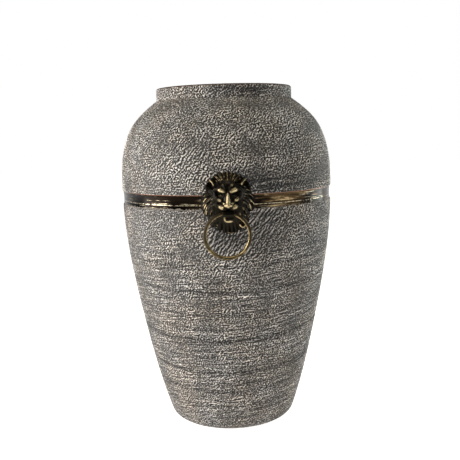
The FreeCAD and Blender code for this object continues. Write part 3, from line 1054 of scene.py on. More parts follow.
@dataclass(frozen=True)
class LockRing:
    """One ring of the mane: its arc, its locks' roots and tips, and how far the locks curl.

    Roots and tips are shares of the mask's ellipse, and crests and radii run from root to tip.
    """

    count: int
    arc: Pair
    shares: Pair
    crests: Pair
    radii: Pair
    curl: float
    wear_and_sheen: Pair
    strands: int
    ellipse: Triple = (28.7, 31.0, 2.0)
    lean_shares: Pair = (0.35, 0.9)
    bend_share: float = 0.45
    brow_loss: float = 0.35
    reach_limit: float = 0.985
    fillet: float = 0.12

    def spot(self, share: float, turn: float, upright: float) -> Pair:
        """Finds a place on the mask's ellipse.

        Args:
            share: share of the ellipse.
            turn: angle in degrees, from the right.
            upright: how upright the lock is; the place is lower where it is less so.

        Returns:
            Across and up from the mask's middle.
        """
        wide, high, up = self.ellipse
        turn = math.radians(turn)
        return wide * share * math.cos(turn), up + (high - up * (1.0 - upright)) * share * math.sin(turn)

    def locks(self, source: np.random.Generator) -> list[Ridge]:
        """Lays the ring's locks.

        Args:
            source: where their small differences come from.

        Returns:
            The locks, from the right cheek round over the brow.
        """
        locks = []
        for angle in np.linspace(*self.arc, self.count):
            side = 1.0 if angle < 90.0 else -1.0
            angle = angle + source.normal(0.0, 1.2)
            upright = max(0.0, math.sin(math.radians(angle)))
            lean = self.lean_shares[0] + self.lean_shares[1] * abs(math.cos(math.radians(angle)))
            swing = side * self.curl * lean * source.uniform(0.7, 1.3)
            reach = min(self.shares[1] * source.uniform(0.87, 1.03), self.reach_limit)
            bright = self.wear_and_sheen[1] * source.uniform(0.2, 1.2) * (1.0 - self.brow_loss * upright)
            root, bend = self.shares[0], angle + self.bend_share * swing
            turns = ((root, angle), ((root + reach) / 2, bend), (reach, angle - swing))
            locks.append(Ridge(
                *(self.spot(share, turn, upright) for share, turn in turns),
                (self.radii[0], self.radii[1] * source.uniform(0.9, 1.15)),
                (self.crests[0], self.crests[1] + source.uniform(-0.3, 0.6)), (self.wear_and_sheen[0], bright),
                self.strands, self.fillet))
        return locks


def mane_locks(seed: int = 5) -> list[Ridge]:
    """Lays the mane's curved locks in three rings, and the beard's eight.

    A lock of a ring starts at a share of the mask's ellipse and ends further out, a little down from
    its ray, so that the mane flows from the brow to the chin.

    Args:
        seed: seed of the locks' small differences.

    Returns:
        The locks, the low outer ones first.
    """
    source = np.random.default_rng(seed)
    rings = (
        LockRing(33, (-54.0, 234.0), (0.58, 0.965), (5.6, 2.2), (2.0, 0.70), 13.0, (0.08, 1.25), 1),
        LockRing(27, (-42.0, 222.0), (0.47, 0.80), (9.2, 5.8), (1.9, 0.80), 11.0, (0.05, 0.68), 1),
        LockRing(21, (-30.0, 210.0), (0.40, 0.62), (11.6, 9.0), (1.7, 0.85), 8.0, (0.05, 0.55), 3),
    )
    locks = [lock for ring in rings for lock in ring.locks(source)]
    for place in (-12.0, -8.2, -4.4, -1.2, 2.3, 5.6, 8.8, 12.4):
        fall = -31.3 + 0.055 * place * place
        locks.append(Ridge(
            (place * 0.85, -12.5), (place * 1.2, -21.0), (place * 1.2 + 0.6, fall), (2.3, 1.35),
            (6.2, 1.8), (0.02, 0.08), 0, 1.1))
    return locks


def face_ridges() -> list[Ridge]:
    """Lays the face, with the curl and the end of the beard, whose bright lower rims are painted highlights,
    the ears and the side beards.

    Each row is a ridge: start, bend, end, radii, crests, wear, strands, fillet and steepness.

    Returns:
        The bars, single ones and pairs, then the forehead's tuft.
    """
    single = (
        ((0.0, 6.0), (0.0, 10.0), (0.0, 17.0), (9.5, 8.0), (13.4, 12.6), (0.02, 0.02), 0, 2.0, 1.3),
        ((0.0, -3.0), (0.0, 0.0), (0.0, 5.0), (6.6, 5.2), (15.2, 15.6), (0.05, 0.05), 0, 1.6, 2.0),
        ((0.0, 11.5), (0.0, 6.0), (0.0, 0.0), (1.4, 2.9), (15.6, 19.8), (0.8, 1.4), 0, 0.8),
        ((-2.6, -0.6), (0.0, -1.3), (2.6, -0.6), (1.9, 1.9), (19.4, 19.4), (0.9, 0.9), 0, 0.6),
        ((0.0, -1.8), (0.0, -2.0), (0.0, -2.4), (2.1, 1.7), (20.2, 19.6), (1.0, 0.7), 0, 0.5),
        # The curl and the beard's end: their bright lower rims are painted highlights.
        ((11.8, -22.4), (14.0, -27.2), (17.6, -23.6), (0.9, 0.7), (4.6, 4.2), (0.9, 1.2), 0, 0.15),
        ((-0.4, -30.2), (2.0, -31.6), (4.8, -30.4), (0.8, 0.7), (2.9, 2.9), (0.45, 0.65), 0, 0.15),
    )
    paired = (
        ((3.4, 13.4), (5.6, 14.4), (7.8, 15.2), (2.4, 2.7), (16.2, 16.0), (0.5, 1.15), 0, 0.8),
        ((7.8, 15.4), (11.6, 17.0), (14.4, 14.4), (2.5, 1.6), (15.4, 12.0), (0.45, 0.0), 0, 0.8),
        ((2.6, 16.4), (3.4, 18.6), (4.4, 20.4), (2.0, 1.9), (14.6, 13.6), (0.15, 0.35), 0, 0.9),
        ((8.4, 4.6), (9.8, 5.2), (11.2, 7.4), (2.6, 2.0), (13.9, 12.8), (0.75, 0.25), 0, 0.8),
        ((11.6, 6.8), (13.0, 8.6), (13.4, 11.6), (2.0, 1.6), (12.8, 12.0), (0.15, 0.05), 0, 0.8),
        ((4.2, 9.6), (6.5, 5.6), (9.6, 5.4), (1.0, 1.0), (13.8, 13.2), (0.3, 0.3), 0, 0.5),
        ((7.3, 9.0), (7.6, 9.0), (7.9, 8.9), (2.3, 2.2), (13.4, 13.2), (0.25, 0.2), 0, 0.3),
        ((4.6, 1.6), (3.0, 0.9), (1.2, 0.2), (1.3, 1.9), (17.2, 18.9), (0.75, 0.9), 0, 0.9),
        ((4.0, -3.4), (5.6, -3.6), (7.6, -2.2), (2.8, 2.8), (18.0, 16.8), (0.2, 0.85), 0, 0.4, 4.0),
        ((14.4, 20.2), (16.6, 25.4), (21.2, 25.2), (1.1, 0.8), (10.2, 8.8), (0.6, 0.9), 0, 0.2),
        ((21.2, 25.2), (23.0, 22.8), (22.0, 19.4), (0.8, 0.9), (8.8, 8.2), (0.9, 0.2), 0, 0.2),
        ((9.5, -11.0), (14.5, -17.0), (17.4, -24.0), (2.4, 1.4), (6.2, 2.0), (0.02, 0.1), 0, 0.9),
        ((11.0, -9.0), (17.0, -13.5), (20.4, -19.8), (2.3, 1.3), (6.2, 2.2), (0.02, 0.15), 0, 0.9),
        ((9.0, -6.6), (14.0, -9.6), (16.8, -14.8), (1.9, 0.9), (8.6, 5.2), (0.03, 0.3), 3, 0.15),
        ((12.6, -1.0), (17.5, -4.0), (19.6, -11.0), (2.1, 1.0), (10.4, 6.2), (0.03, 0.2), 3, 0.15),
    )
    tuft = (
        (-9.0, 28.6), (-6.0, 30.8), (-3.0, 31.9), (0.0, 32.3), (3.1, 31.9), (6.2, 30.6), (9.2, 28.8))
    pairs = [Ridge(*row) for row in paired]
    return [Ridge(*row) for row in single] + pairs + [bar.mirrored() for bar in pairs] + [
        Ridge((place * 0.5, 17.0), (place * 0.75, 24.0), (place * 1.35, height), (1.6, 0.8),
              (13.2, 3.4), (0.1, 0.95), 3, 0.12)
        for place, height in tuft
    ]


@dataclass(frozen=True)
class RingSize:
    """The ring pull, an open hoop whose ends meet inside the mouth."""

    mean_radius: float = 23.5
    bar_radius: float = 1.98
    slide: float = 1.5
    joint_gap: float = 0.4
    hinge_depth: float = 136.662
    centre_height: float = 241.366
    unevenness: float = 0.025
    facets: float = 0.02
    seed: int = 21
    wave_count: int = 6
    wave_range: tuple[int, int] = (2, 9)
    inner_edge: Pair = (0.2, 0.9)
    outer_edge: Pair = (0.5, 1.0)
    inner_wear: float = 0.85
    outer_wear: float = 0.45
    foot_wear: float = 0.4
    uneven_wear: float = 0.25
    rows: int = 300
    columns: int = 32

    def build(self, side: Side, material: Material) -> None:
        """Builds the hoop: a bar of nearly even radius turned round the ring's centre.

        Args:
            side: front or rear.
            material: its finish.
        """
        start = math.asin((self.slide + self.joint_gap / 2) / self.mean_radius)
        end = TURN + math.asin((self.slide - self.joint_gap / 2) / self.mean_radius)
        angle = np.linspace(start, end, self.rows)[:, None]
        around = even_angles(self.columns)[None, :]
        source = np.random.default_rng(self.seed)
        waves = [
            (source.integers(*self.wave_range), source.uniform(0.0, TURN)) for _ in range(self.wave_count)]
        uneven = sum(np.sin(count * angle + phase) for count, phase in waves) / self.wave_count
        bar = self.bar_radius - self.unevenness - self.unevenness * uneven
        bar = bar - self.facets * np.cos(3.0 * around)
        reach = self.mean_radius + bar * np.cos(around)
        grid = np.stack([
            -self.slide + reach * np.sin(angle), -self.hinge_depth - bar * np.sin(around) + 0.0 * angle,
            self.centre_height + reach * np.cos(angle),
        ], axis=-1)
        inside = smooth_step(*self.inner_edge, -np.cos(around))
        outside = smooth_step(*self.outer_edge, np.cos(around))
        wear_and_sheen = self.inner_wear * inside + self.outer_wear * outside
        wear_and_sheen = wear_and_sheen + self.foot_wear * smooth_step(0.0, 1.0, -np.cos(angle)) + self.uneven_wear * uneven
        wear_and_sheen = np.clip(wear_and_sheen, 0.0, 1.0)
        surface = Surface().add_grid(
            side.placed(grid), poles=True, creases=(0, self.rows - 1), values={"wear_and_sheen": wear_and_sheen})
        piece = surface.build(side.node("ring_pull"), material)
        hand_over(piece, side.node("handle_ring"), side.node("ring"), "ring_metal")


class LionMask:
    """The lion's head: a relief with carved locks, and the jaw that holds the ring."""

    def __init__(self, outline: Outline, size: LionSize, ring: RingSize, material: Material) -> None:
        """Carves the relief once for both sides.

        Args:
            outline: the vase's side, which the mask is bedded on.
            size: the mask's place and grid.
            ring: the ring that hangs in the mouth.
            material: the mask's finish.
        """
        self.outline = outline
        self.size = size
        self.ring = ring
        self.material = material
        self.across, self.up = self.spots()
        self.relief, self.wear_and_sheen = self.carve()

    def spots(self) -> tuple[Array, Array]:
        """Places of the grid's points: shrinking rings of an egg-shaped outline.

        Returns:
            Across and up from the mask's middle, rows by columns.
        """
        size = self.size
        share = np.linspace(size.least_share, 1.0, size.rows)[:, None]
        angle = even_angles(size.columns)[None, :]
        rise = np.where(
            np.sin(angle) > 0.0, size.half_height - size.centre_up, size.half_height + size.centre_up)
        return size.half_width * share * np.cos(angle), size.centre_up + rise * share * np.sin(angle)

    def carve(self) -> tuple[Array, Array]:
        """Raises every lock and feature over a domed ground.

        Returns:
            Height over the coat and rubbing with its painted highlights, rows by columns.
        """
        size = self.size
        spread = np.hypot(self.across / size.half_width, (self.up - 1.0) / size.half_height)
        relief = np.maximum(size.dome[0] * (1.0 - (spread / size.dome[1]) ** 2), -size.sunk - 0.6)
        wear_and_sheen = np.zeros_like(relief)
        for ridge in mane_locks() + face_ridges():
            ridge.raise_on(self.across, self.up, relief, wear_and_sheen)
        self.cut_lip(relief)
        self.clear_ring(relief)
        rim = smooth_step(size.rim_share, 1.0, np.linspace(size.least_share, 1.0, size.rows))[:, None]
        relief = np.maximum(relief, -size.sunk) * (1.0 - rim) - size.sunk * rim
        return relief, np.clip(wear_and_sheen, 0.0, 1.0)

    def cut_lip(self, relief: Array, top: float = -3.4, low: float = -7.5, half: float = 0.55,
                depth: float = 1.6) -> None:
        """Sinks the upright groove of the upper lip.

        Args:
            relief: heights to change.
            top: place up of the groove's upper end.
            low: place up of its lower end.
            half: half its width.
            depth: its depth.
        """
        run = low - top
        part = np.clip((self.up - top) * run / (run * run), 0.0, 1.0)
        distance = np.hypot(self.across, self.up - top - part * run)
        relief -= depth * np.exp(-((distance / half) ** 2))

    def clear_ring(self, relief: Array) -> None:
        """Keeps the relief behind the ring's bar, under the whisker pads and beside the mouth.

        Across from the mouth the bar's line drops from the hinge by c - sqrt(c^2 - x^2), c being the
        ring's mean radius. Near that line the relief stays under a limit, which sinks slowly below
        the hinge and has a soft upper edge.

        Args:
            relief: heights to change.
        """
        reach = self.ring.mean_radius
        away = np.abs(self.across)
        drop = reach - np.sqrt(np.maximum(reach**2 - (away + self.ring.slide) ** 2, 1.0))
        size = self.size
        clear = size.ring_clearance + np.maximum(drop - size.free_drop, 0.0)
        over = self.up - size.hinge_up
        near = (over < clear) & (over > -clear - size.cleared[1]) & (away < size.cleared[0])
        fade = np.clip((clear - over) / size.limit_edge[0], 0.0, 1.0)
        limit = size.dome[0] - size.limit_fall * np.maximum(-over, 0.0) + (1.0 - fade) * size.limit_edge[1]
        relief[:] = np.where(near, np.minimum(relief, limit), relief)

    def on_coat(self, across: Array, up: Array, standoff: Array) -> Array:
        """Brings mask places to the vase: y = -sqrt(R(z)^2 - x^2) - standoff.

        Args:
            across: place across.
            up: place up from the mask's middle.
            standoff: height over the coat.

        Returns:
            Points with a last axis of three.
        """
        height = self.size.middle_height + up
        radius = self.outline.radius_at(height)
        return np.stack([across, -np.sqrt(radius**2 - across**2) - standoff, height], axis=-1)

    def jaw(self) -> tuple[Array, Array]:
        """Lays the jaw: a strap round the hinge line with lip, groove and chin.

        Round the hinge line the strap's outside is r(t) = wall + humps, t growing from straight out
        to straight down, and its inside is the mouth's round hole. The places are shares of the
        strap's half width, the outside's from left to right and the hole's back again.

        Returns:
            The strap's closed grid and its rubbing.
        """
        size = self.size
        turn = even_angles(size.jaw_columns)
        outer = size.jaw_wall
        for high, middle, reach in size.jaw_humps:
            outer = outer + high * bell(turn, middle, reach)
        half = size.mouth_half_width
        rows, wear_and_sheen = [], []
        for place in size.strap_shares:
            shrink = 1.0 - size.strap_fall * abs(place) ** 6 - size.strap_fall * place * place
            rows.append((place * half, size.hole_radius + (outer - size.hole_radius) * shrink))
            # Painted highlight: the lit L along the jaw's left corner and lower lip, painted in as bright
            # brass.
            glints = [
                bell(np.array(place), *along) * bell(turn, *around) for along, around in size.jaw_painted_highlights]
            front = size.jaw_gloss[1] * bell(turn, *size.jaw_front)
            wear_and_sheen.append(size.jaw_gloss[0] * np.max(glints, axis=0) + front)
        for place in size.hole_shares:
            reach = size.hole_radius + size.hole_flare * abs(place) ** 4
            rows.append((place * (half - size.hole_inset), np.full(len(turn), reach)))
            wear_and_sheen.append(np.full(len(turn), size.hole_wear))
        hinge = size.middle_height + size.hinge_up
        base = float(self.outline.radius_at(hinge))
        grid = np.stack([
            np.stack([
                np.full(len(turn), place), -(base + size.hinge_standoff + reach * np.cos(turn)),
                hinge - reach * np.sin(turn),
            ], axis=-1) for place, reach in rows
        ])
        return grid, np.clip(np.stack(wear_and_sheen), 0.0, 1.0)

    def build(self, side: Side) -> None:
        """Builds the mask on one side.

        Args:
            side: front or rear.
        """
        size = self.size
        front = self.on_coat(self.across, self.up, self.relief)
        rows = [-1, size.rows // 2, 2]
        back = self.on_coat(self.across[rows], self.up[rows], np.full((len(rows), 1), -size.back_sunk))
        wear_and_sheen = np.vstack([self.wear_and_sheen, np.zeros((len(rows), size.columns))])
        surface = Surface().add_grid(
            side.placed(np.concatenate([front, back])), poles=True, creases=(size.rows - 1, size.rows),
            values={"wear_and_sheen": wear_and_sheen})
        jaw, jaw_wear_and_sheen = self.jaw()
        surface.add_grid(side.placed(jaw), creases=(0, len(size.strap_shares) - 1), values={"wear_and_sheen": jaw_wear_and_sheen})
        piece = surface.build(side.node("lion_head"), self.material)
        hand_over(piece, side.node("lion_mask"), "vase", "mask_metal")


@dataclass(frozen=True)
class Fixings:
    """The stud with its thread, and the finishes of one side's nut, washers and bedding."""

    steel: Material
    seal: Material
    bedding: Material
    pitch: float = 0.8
    thread_depth: float = 0.42
    chamfer: float = 0.45
    columns: int = 24
    rows_a_pitch: int = 14

    def stud(self, side: Side) -> None:
        """Builds the stud: a bar with a helical thread, radius = crest - depth (1 - saw) along it.

        Args:
            side: front or rear.
        """
        low, high = (np.array(corner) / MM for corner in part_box(Side.FRONT.node("mask_stud")))
        radius = (high[0] - low[0]) / 2
        rows = self.rows_a_pitch * int((high[1] - low[1]) / self.pitch)
        along = np.linspace(low[1], high[1], rows)[:, None]
        around = even_angles(self.columns)[None, :]
        saw = np.abs(2.0 * ((along / self.pitch - around / TURN) % 1.0) - 1.0)
        ends = np.minimum(along - low[1], high[1] - along) + radius - self.chamfer
        reach = np.minimum(radius - self.thread_depth * (1.0 - np.clip(1.15 * saw, 0.0, 1.0)), ends)
        middle = (low[2] + high[2]) / 2
        grid = np.stack([
            reach * np.cos(around), along + 0.0 * around, middle + reach * np.sin(around)], axis=-1)
        piece = Surface().add_grid(side.placed(grid), poles=True).build(side.node("stud"), self.steel)
        hand_over(piece, side.node("mask_stud"), "vase", "plated_steel")

    def dress(self, side: Side) -> None:
        """Gives the CAD pieces of one side their finishes.

        Args:
            side: front or rear.
        """
        finishes = {
            "stud_nut": self.steel, "steel_washer": self.steel,
            "sealing_washer": self.seal, "mask_bedding": self.bedding,
        }
        for name, material in finishes.items():
            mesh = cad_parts[side.node(name)].data
            mesh.materials.clear()
            mesh.materials.append(material)
            LOG.info("%s wears %s", side.node(name), material.name)


@dataclass(frozen=True)
class CoatFinish:
    """Colours and roughness of the coat, from a stroke's hollow to its top.

    Here and in the other finishes waves are in waves a metre, a fade is the gain and the start of a
    straight line through a noise, and a bump is its height in metres and its strength.
    """

    hollow: Triple = (0.007, 0.007, 0.006)
    low: Triple = (0.044, 0.041, 0.036)
    middle: Triple = (0.134, 0.124, 0.113)
    top: Triple = (0.735, 0.682, 0.626)
    warm: Triple = (1.04, 0.965, 0.875)
    rim: Triple = (0.060, 0.032, 0.018)
    roughness: float = 0.62
    stop_shares: tuple[float, ...] = (0.0, 0.3, 0.6, 0.95)
    grain_waves: float = 880.0
    scratch_waves: float = 330.0
    scratch_flatness: float = 3.0
    scratch_gain: float = 0.8
    grain_fade: Pair = (2.2, -1.1)
    warm_waves: float = 26.0
    warm_fade: Pair = (2.4, -0.8)
    detail: float = 2.0
    tone_share: float = 0.42
    least_tone: float = 0.15
    rim_shine: float = 0.35
    specular: float = 0.35
    bump: Pair = (0.0003, 0.5)


@dataclass(frozen=True)
class GlazeFinish:
    """Colours of the dark glaze, of its gilt runs, which are partly painted reflection, of its painted
    highlights (pale), of the specks of coat and of the line along the top.
    """

    dark: Triple = (0.0078, 0.0048, 0.0028)
    bronze: Triple = (0.160, 0.102, 0.047)
    gold: Triple = (0.62, 0.45, 0.24)
    pale: Triple = (0.80, 0.68, 0.46)
    # Colour of the painted highlights: the broken bright line across the band and its glints.
    coat: Triple = (0.20, 0.175, 0.145)
    line: Triple = (0.19, 0.10, 0.065)
    roughness: float = 0.16
    metallic: float = 0.9
    run_waves: float = 16.0
    fine_waves: float = 380.0
    streak_waves: float = 42.0
    streak_flatness: float = 9.0
    glint_waves: float = 30.0
    glint_flatness: float = 22.0
    detail: float = 4.0
    run_fade: Pair = (3.4, -2.7)
    streak_gain: float = 1.9
    wave_gain: float = 0.12
    gilt_gain: float = 0.7
    gold_fade: Pair = (7.0, -4.9)
    gold_fine: float = 2.0
    gold_gilt: float = 0.25
    # Where the painted highlight line runs, how sharply it falls off and how it breaks up.
    trail_level: float = 0.35
    trail_fall: float = 24.0
    trail_breaks: Pair = (5.0, -1.9)
    # How the painted glints fade and break up.
    glint_fade: Pair = (14.0, -8.7)
    glint_breaks: Pair = (3.0, -0.9)
    speck_fall: float = 2.6
    speck_level: float = 1.18
    speck_roughness: float = 0.5
    speck_height: float = 1.5
    line_level: float = 0.985
    line_ripple: float = 0.06
    specular: float = 0.12
    bump: Pair = (0.00012, 0.4)


@dataclass(frozen=True)
class MetalFinish:
    """Blackened metal that is rubbed bright where hands reach it; some bright places are painted highlights.
    """

    black: Triple = (0.013, 0.010, 0.006)
    bright: Triple = (0.67, 0.515, 0.275)
    black_roughness: float = 0.27
    bright_roughness: float = 0.27
    metallic: float = 0.9
    bump: Pair = (0.00012, 0.5)


@dataclass(frozen=True)
class Rubbing:
    """How patches and scratches break up the rubbing that all the metals share."""

    patch_waves: float = 260.0
    patch_detail: float = 4.0
    patch_fade: Pair = (1.2, -0.6)
    scratch_waves: float = 2400.0
    scratch_detail: float = 2.0
    scratch_roughness: Pair = (0.12, -0.06)
    scratch_height: float = 0.3
    contrast: Pair = (1.7, -0.5)


@dataclass(frozen=True)
class PlainFinish:
    """A finish of one colour, a little uneven."""

    colour: Triple
    roughness: float
    metallic: float = 0.0
    unevenness: float = 0.15
    grain_waves: float = 900.0
    bump: Pair = (0.0001, 0.4)


class Nodes:
    """Adds nodes to one shader tree."""

    def __init__(self, tree: NodeTree) -> None:
        """Keeps the tree."""
        self.tree = tree

    def fill(self, node: Node, inputs: dict[str | int, Value]) -> None:
        """Links sockets to a node's inputs, and sets numbers and colours on them.

        Args:
            node: the node to fill.
            inputs: what each input gets, by its name or place.
        """
        for key, value in inputs.items():
            socket = node.inputs[key]
            if isinstance(value, NodeSocket):
                self.tree.links.new(value, socket)
            else:
                socket.default_value = (*value, 1.0) if socket.type == "RGBA" else value

    def add(self, kind: str, inputs: dict[str | int, Value] | None = None, **settings: object) -> Node:
        """Adds a node.

        Args:
            kind: its type, without "ShaderNode" in front.
            inputs: what its inputs get, by name or place.
            settings: the node's own settings, by name.

        Returns:
            The new node.
        """
        node = self.tree.nodes.new("ShaderNode" + kind)
        for name, setting in settings.items():
            setattr(node, name, setting)
        self.fill(node, inputs or {})
        return node

    def attribute(self, name: str) -> NodeSocket:
        """A mesh attribute's number."""
        return self.add("Attribute", attribute_name=name).outputs["Fac"]

    def noise(self, scale: float, detail: float = 3.0, flattened: float = 1.0) -> NodeSocket:
        """Noise in the object's own coordinates.

        Args:
            scale: waves a metre.
            detail: number of finer layers.
            flattened: how many times lower than wide the spots are.

        Returns:
            The noise's socket.
        """
        place = self.add("TexCoord").outputs["Object"]
        mapping = self.add("Mapping", {"Vector": place, "Scale": (scale, scale, scale * flattened)})
        inputs = {"Vector": mapping.outputs["Vector"], "Scale": 1.0, "Detail": detail}
        return self.add("TexNoise", inputs).outputs["Fac"]

    def math(self, operation: str, *values: Value, clamp: bool = False) -> NodeSocket:
        """One arithmetic node; clamp keeps its result between 0 and 1."""
        return self.add("Math", dict(enumerate(values)), operation=operation, use_clamp=clamp).outputs[0]

    def scaled(self, value: Value, factor: Value, start: Value, clamp: bool = False) -> NodeSocket:
        """The sum start + factor * value."""
        return self.math("MULTIPLY_ADD", value, factor, start, clamp=clamp)

    def ramp(self, factor: NodeSocket, *stops: tuple[float, Triple]) -> NodeSocket:
        """Colours along a number.

        Args:
            factor: the number.
            stops: places and colours.

        Returns:
            The colour's socket.
        """
        node = self.add("ValToRGB", {"Fac": factor})
        elements = node.color_ramp.elements
        while len(elements) < len(stops):
            elements.new(0.5)
        for element, (place, colour) in zip(elements, stops):
            element.position = place
            element.color = (*colour, 1.0)
        return node.outputs["Color"]

    def mix(self, share: Value, first: Value, second: Value, blend: str = "MIX") -> NodeSocket:
        """Mixes two colours, with a share of the second one."""
        inputs = {0: share, 6: first, 7: second}
        return self.add("Mix", inputs, data_type="RGBA", blend_type=blend).outputs[2]

    def bump(self, height: Value, distance: float, strength: float) -> NodeSocket:
        """A normal bumped by a height, up to a distance in metres, at a strength from 0 to 1."""
        inputs = {"Height": height, "Distance": distance, "Strength": strength}
        return self.add("Bump", inputs).outputs["Normal"]


def start_material(name: str) -> tuple[Material, Nodes, Node]:
    """Starts a material.

    Args:
        name: its name.

    Returns:
        The material, its nodes and its shader node.
    """
    material = bpy.data.materials.new(name)
    material.use_nodes = True
    return material, Nodes(material.node_tree), material.node_tree.nodes["Principled BSDF"]


class Painter:
    """Builds the materials."""

    def __init__(self) -> None:
        """Makes the group that the rubbed metals share."""
        self.rubbed = self.wear_and_sheen_group(Rubbing())

    def coat(self, name: str, finish: CoatFinish, with_rim: bool = False) -> Material:
        """Paints the coat: dark hollows, pale tops, tone that includes painted shade and light, warm clouds
        and fine grain.

        Args:
            name: the material's name.
            finish: its colours.
            with_rim: True where the brown rim glaze shows.

        Returns:
            The material.
        """
        material, nodes, shader = start_material(name)
        grain = nodes.noise(finish.grain_waves)
        scratch = nodes.noise(finish.scratch_waves, finish.detail, finish.scratch_flatness)
        fine = nodes.scaled(grain, *finish.grain_fade)
        uneven = nodes.scaled(nodes.math("SUBTRACT", scratch, 0.5), finish.scratch_gain, fine)
        level = nodes.math("ADD", nodes.attribute("stroke"), uneven, clamp=True)
        colours = (finish.hollow, finish.low, finish.middle, finish.top)
        colour = nodes.ramp(level, *zip(finish.stop_shares, colours))
        bright = nodes.scaled(nodes.attribute("tone"), finish.tone_share, 1.0)
        bright = nodes.math("MAXIMUM", bright, finish.least_tone)
        grey = nodes.add("CombineColor", dict.fromkeys(range(3), bright)).outputs["Color"]
        colour = nodes.mix(1.0, colour, grey, "MULTIPLY")
        warmth = nodes.scaled(nodes.noise(finish.warm_waves, finish.detail), *finish.warm_fade, clamp=True)
        colour = nodes.mix(warmth, colour, nodes.mix(1.0, colour, finish.warm, "MULTIPLY"))
        roughness = finish.roughness
        if with_rim:
            edge = nodes.attribute("edge")
            colour = nodes.mix(edge, colour, finish.rim)
            roughness = nodes.scaled(edge, -finish.rim_shine, roughness)
        nodes.fill(shader, {
            "Base Color": colour, "Roughness": roughness, "Specular IOR Level": finish.specular,
            "Normal": nodes.bump(nodes.math("ADD", grain, scratch), *finish.bump),
        })
        return material

    def band(self, finish: GlazeFinish) -> Material:
        """Paints the band: dark glaze with level gilt streaks, partly painted reflection, a broken painted
        highlight line and painted pale glints.

        Specks of coat lie low down, and a warm line runs along the top.

        Args:
            finish: its colours.

        Returns:
            The material.
        """
        material, nodes, shader = start_material("band_glaze")
        level, wave, gilt_and_sheen = (nodes.attribute(name) for name in ("level", "wave", "gilt_and_sheen"))
        fine = nodes.noise(finish.fine_waves, finish.detail)
        streak = nodes.noise(finish.streak_waves, finish.detail, finish.streak_flatness)
        # Bronze and gold streaks: partly the glaze's own colour, partly painted streaks of reflection.
        share = nodes.scaled(nodes.noise(finish.run_waves), *finish.run_fade)
        share = nodes.scaled(gilt_and_sheen, finish.gilt_gain, nodes.scaled(streak, finish.streak_gain, share))
        share = nodes.scaled(wave, finish.wave_gain, share, clamp=True)
        colour = nodes.mix(share, finish.dark, finish.bronze)
        bright = nodes.scaled(fine, finish.gold_fine, nodes.scaled(streak, *finish.gold_fade))
        bright = nodes.scaled(gilt_and_sheen, finish.gold_gilt, bright, clamp=True)
        # Gold where the streaks are brightest, partly painted reflection.
        colour = nodes.mix(nodes.math("MULTIPLY", bright, share), colour, finish.gold)
        # Painted highlight: a thin bright line across the band's lower third, where a light glances off it.
        highlight_trail = nodes.math("ABSOLUTE", nodes.math("SUBTRACT", level, finish.trail_level))
        highlight_trail = nodes.scaled(highlight_trail, -finish.trail_fall, 1.0, clamp=True)
        # Painted highlights: scattered pale glints.
        glint = nodes.noise(finish.glint_waves, flattened=finish.glint_flatness)
        glint = nodes.scaled(glint, *finish.glint_fade, clamp=True)
        for shine, breaks in ((highlight_trail, finish.trail_breaks), (glint, finish.glint_breaks)):
            broken = nodes.math("MULTIPLY", shine, nodes.scaled(fine, *breaks, clamp=True))
            colour = nodes.mix(broken, colour, finish.pale)
        specks = nodes.math("ADD", fine, nodes.scaled(level, -finish.speck_fall, 1.0))
        specks = nodes.math("GREATER_THAN", specks, finish.speck_level)
        line = nodes.math("GREATER_THAN", nodes.scaled(fine, finish.line_ripple, level), finish.line_level)
        nodes.fill(shader, {
            "Base Color": nodes.mix(line, nodes.mix(specks, colour, finish.coat), finish.line),
            "Roughness": nodes.scaled(specks, finish.speck_roughness, finish.roughness),
            "Metallic": finish.metallic, "Specular IOR Level": finish.specular,
            "Normal": nodes.bump(nodes.scaled(specks, finish.speck_height, fine), *finish.bump),
        })
        return material

    def wear_and_sheen_group(self, rubbing: Rubbing) -> NodeTree:
        """Makes the group that turns rubbing, and the painted highlights that share its attribute, into a
        colour, a roughness and a bump height.

        Args:
            rubbing: how it is broken up.

        Returns:
            The group.
        """
        group = bpy.data.node_groups.new("rubbed_and_sheen_metal", "ShaderNodeTree")
        for way, name, kind in (
            ("INPUT", "Wear And Sheen", "Float"), ("INPUT", "Black", "Color"), ("INPUT", "Bright", "Color"),
            ("INPUT", "Black Roughness", "Float"), ("INPUT", "Bright Roughness", "Float"),
            ("OUTPUT", "Color", "Color"), ("OUTPUT", "Roughness", "Float"), ("OUTPUT", "Height", "Float"),
        ):
            group.interface.new_socket(name, in_out=way, socket_type="NodeSocket" + kind)
        nodes = Nodes(group)
        source = group.nodes.new("NodeGroupInput").outputs
        patch = nodes.noise(rubbing.patch_waves, rubbing.patch_detail)
        scratch = nodes.noise(rubbing.scratch_waves, rubbing.scratch_detail)
        wear_and_sheen = nodes.math("ADD", source["Wear And Sheen"], nodes.scaled(patch, *rubbing.patch_fade))
        wear_and_sheen = nodes.scaled(wear_and_sheen, *rubbing.contrast, clamp=True)
        gap = nodes.math("SUBTRACT", source["Bright Roughness"], source["Black Roughness"])
        rough = nodes.scaled(gap, wear_and_sheen, source["Black Roughness"])
        nodes.fill(group.nodes.new("NodeGroupOutput"), {
            "Color": nodes.mix(wear_and_sheen, source["Black"], source["Bright"]),
            "Roughness": nodes.math("ADD", rough, nodes.scaled(scratch, *rubbing.scratch_roughness)),
            "Height": nodes.scaled(scratch, rubbing.scratch_height, patch),
        })
        return group

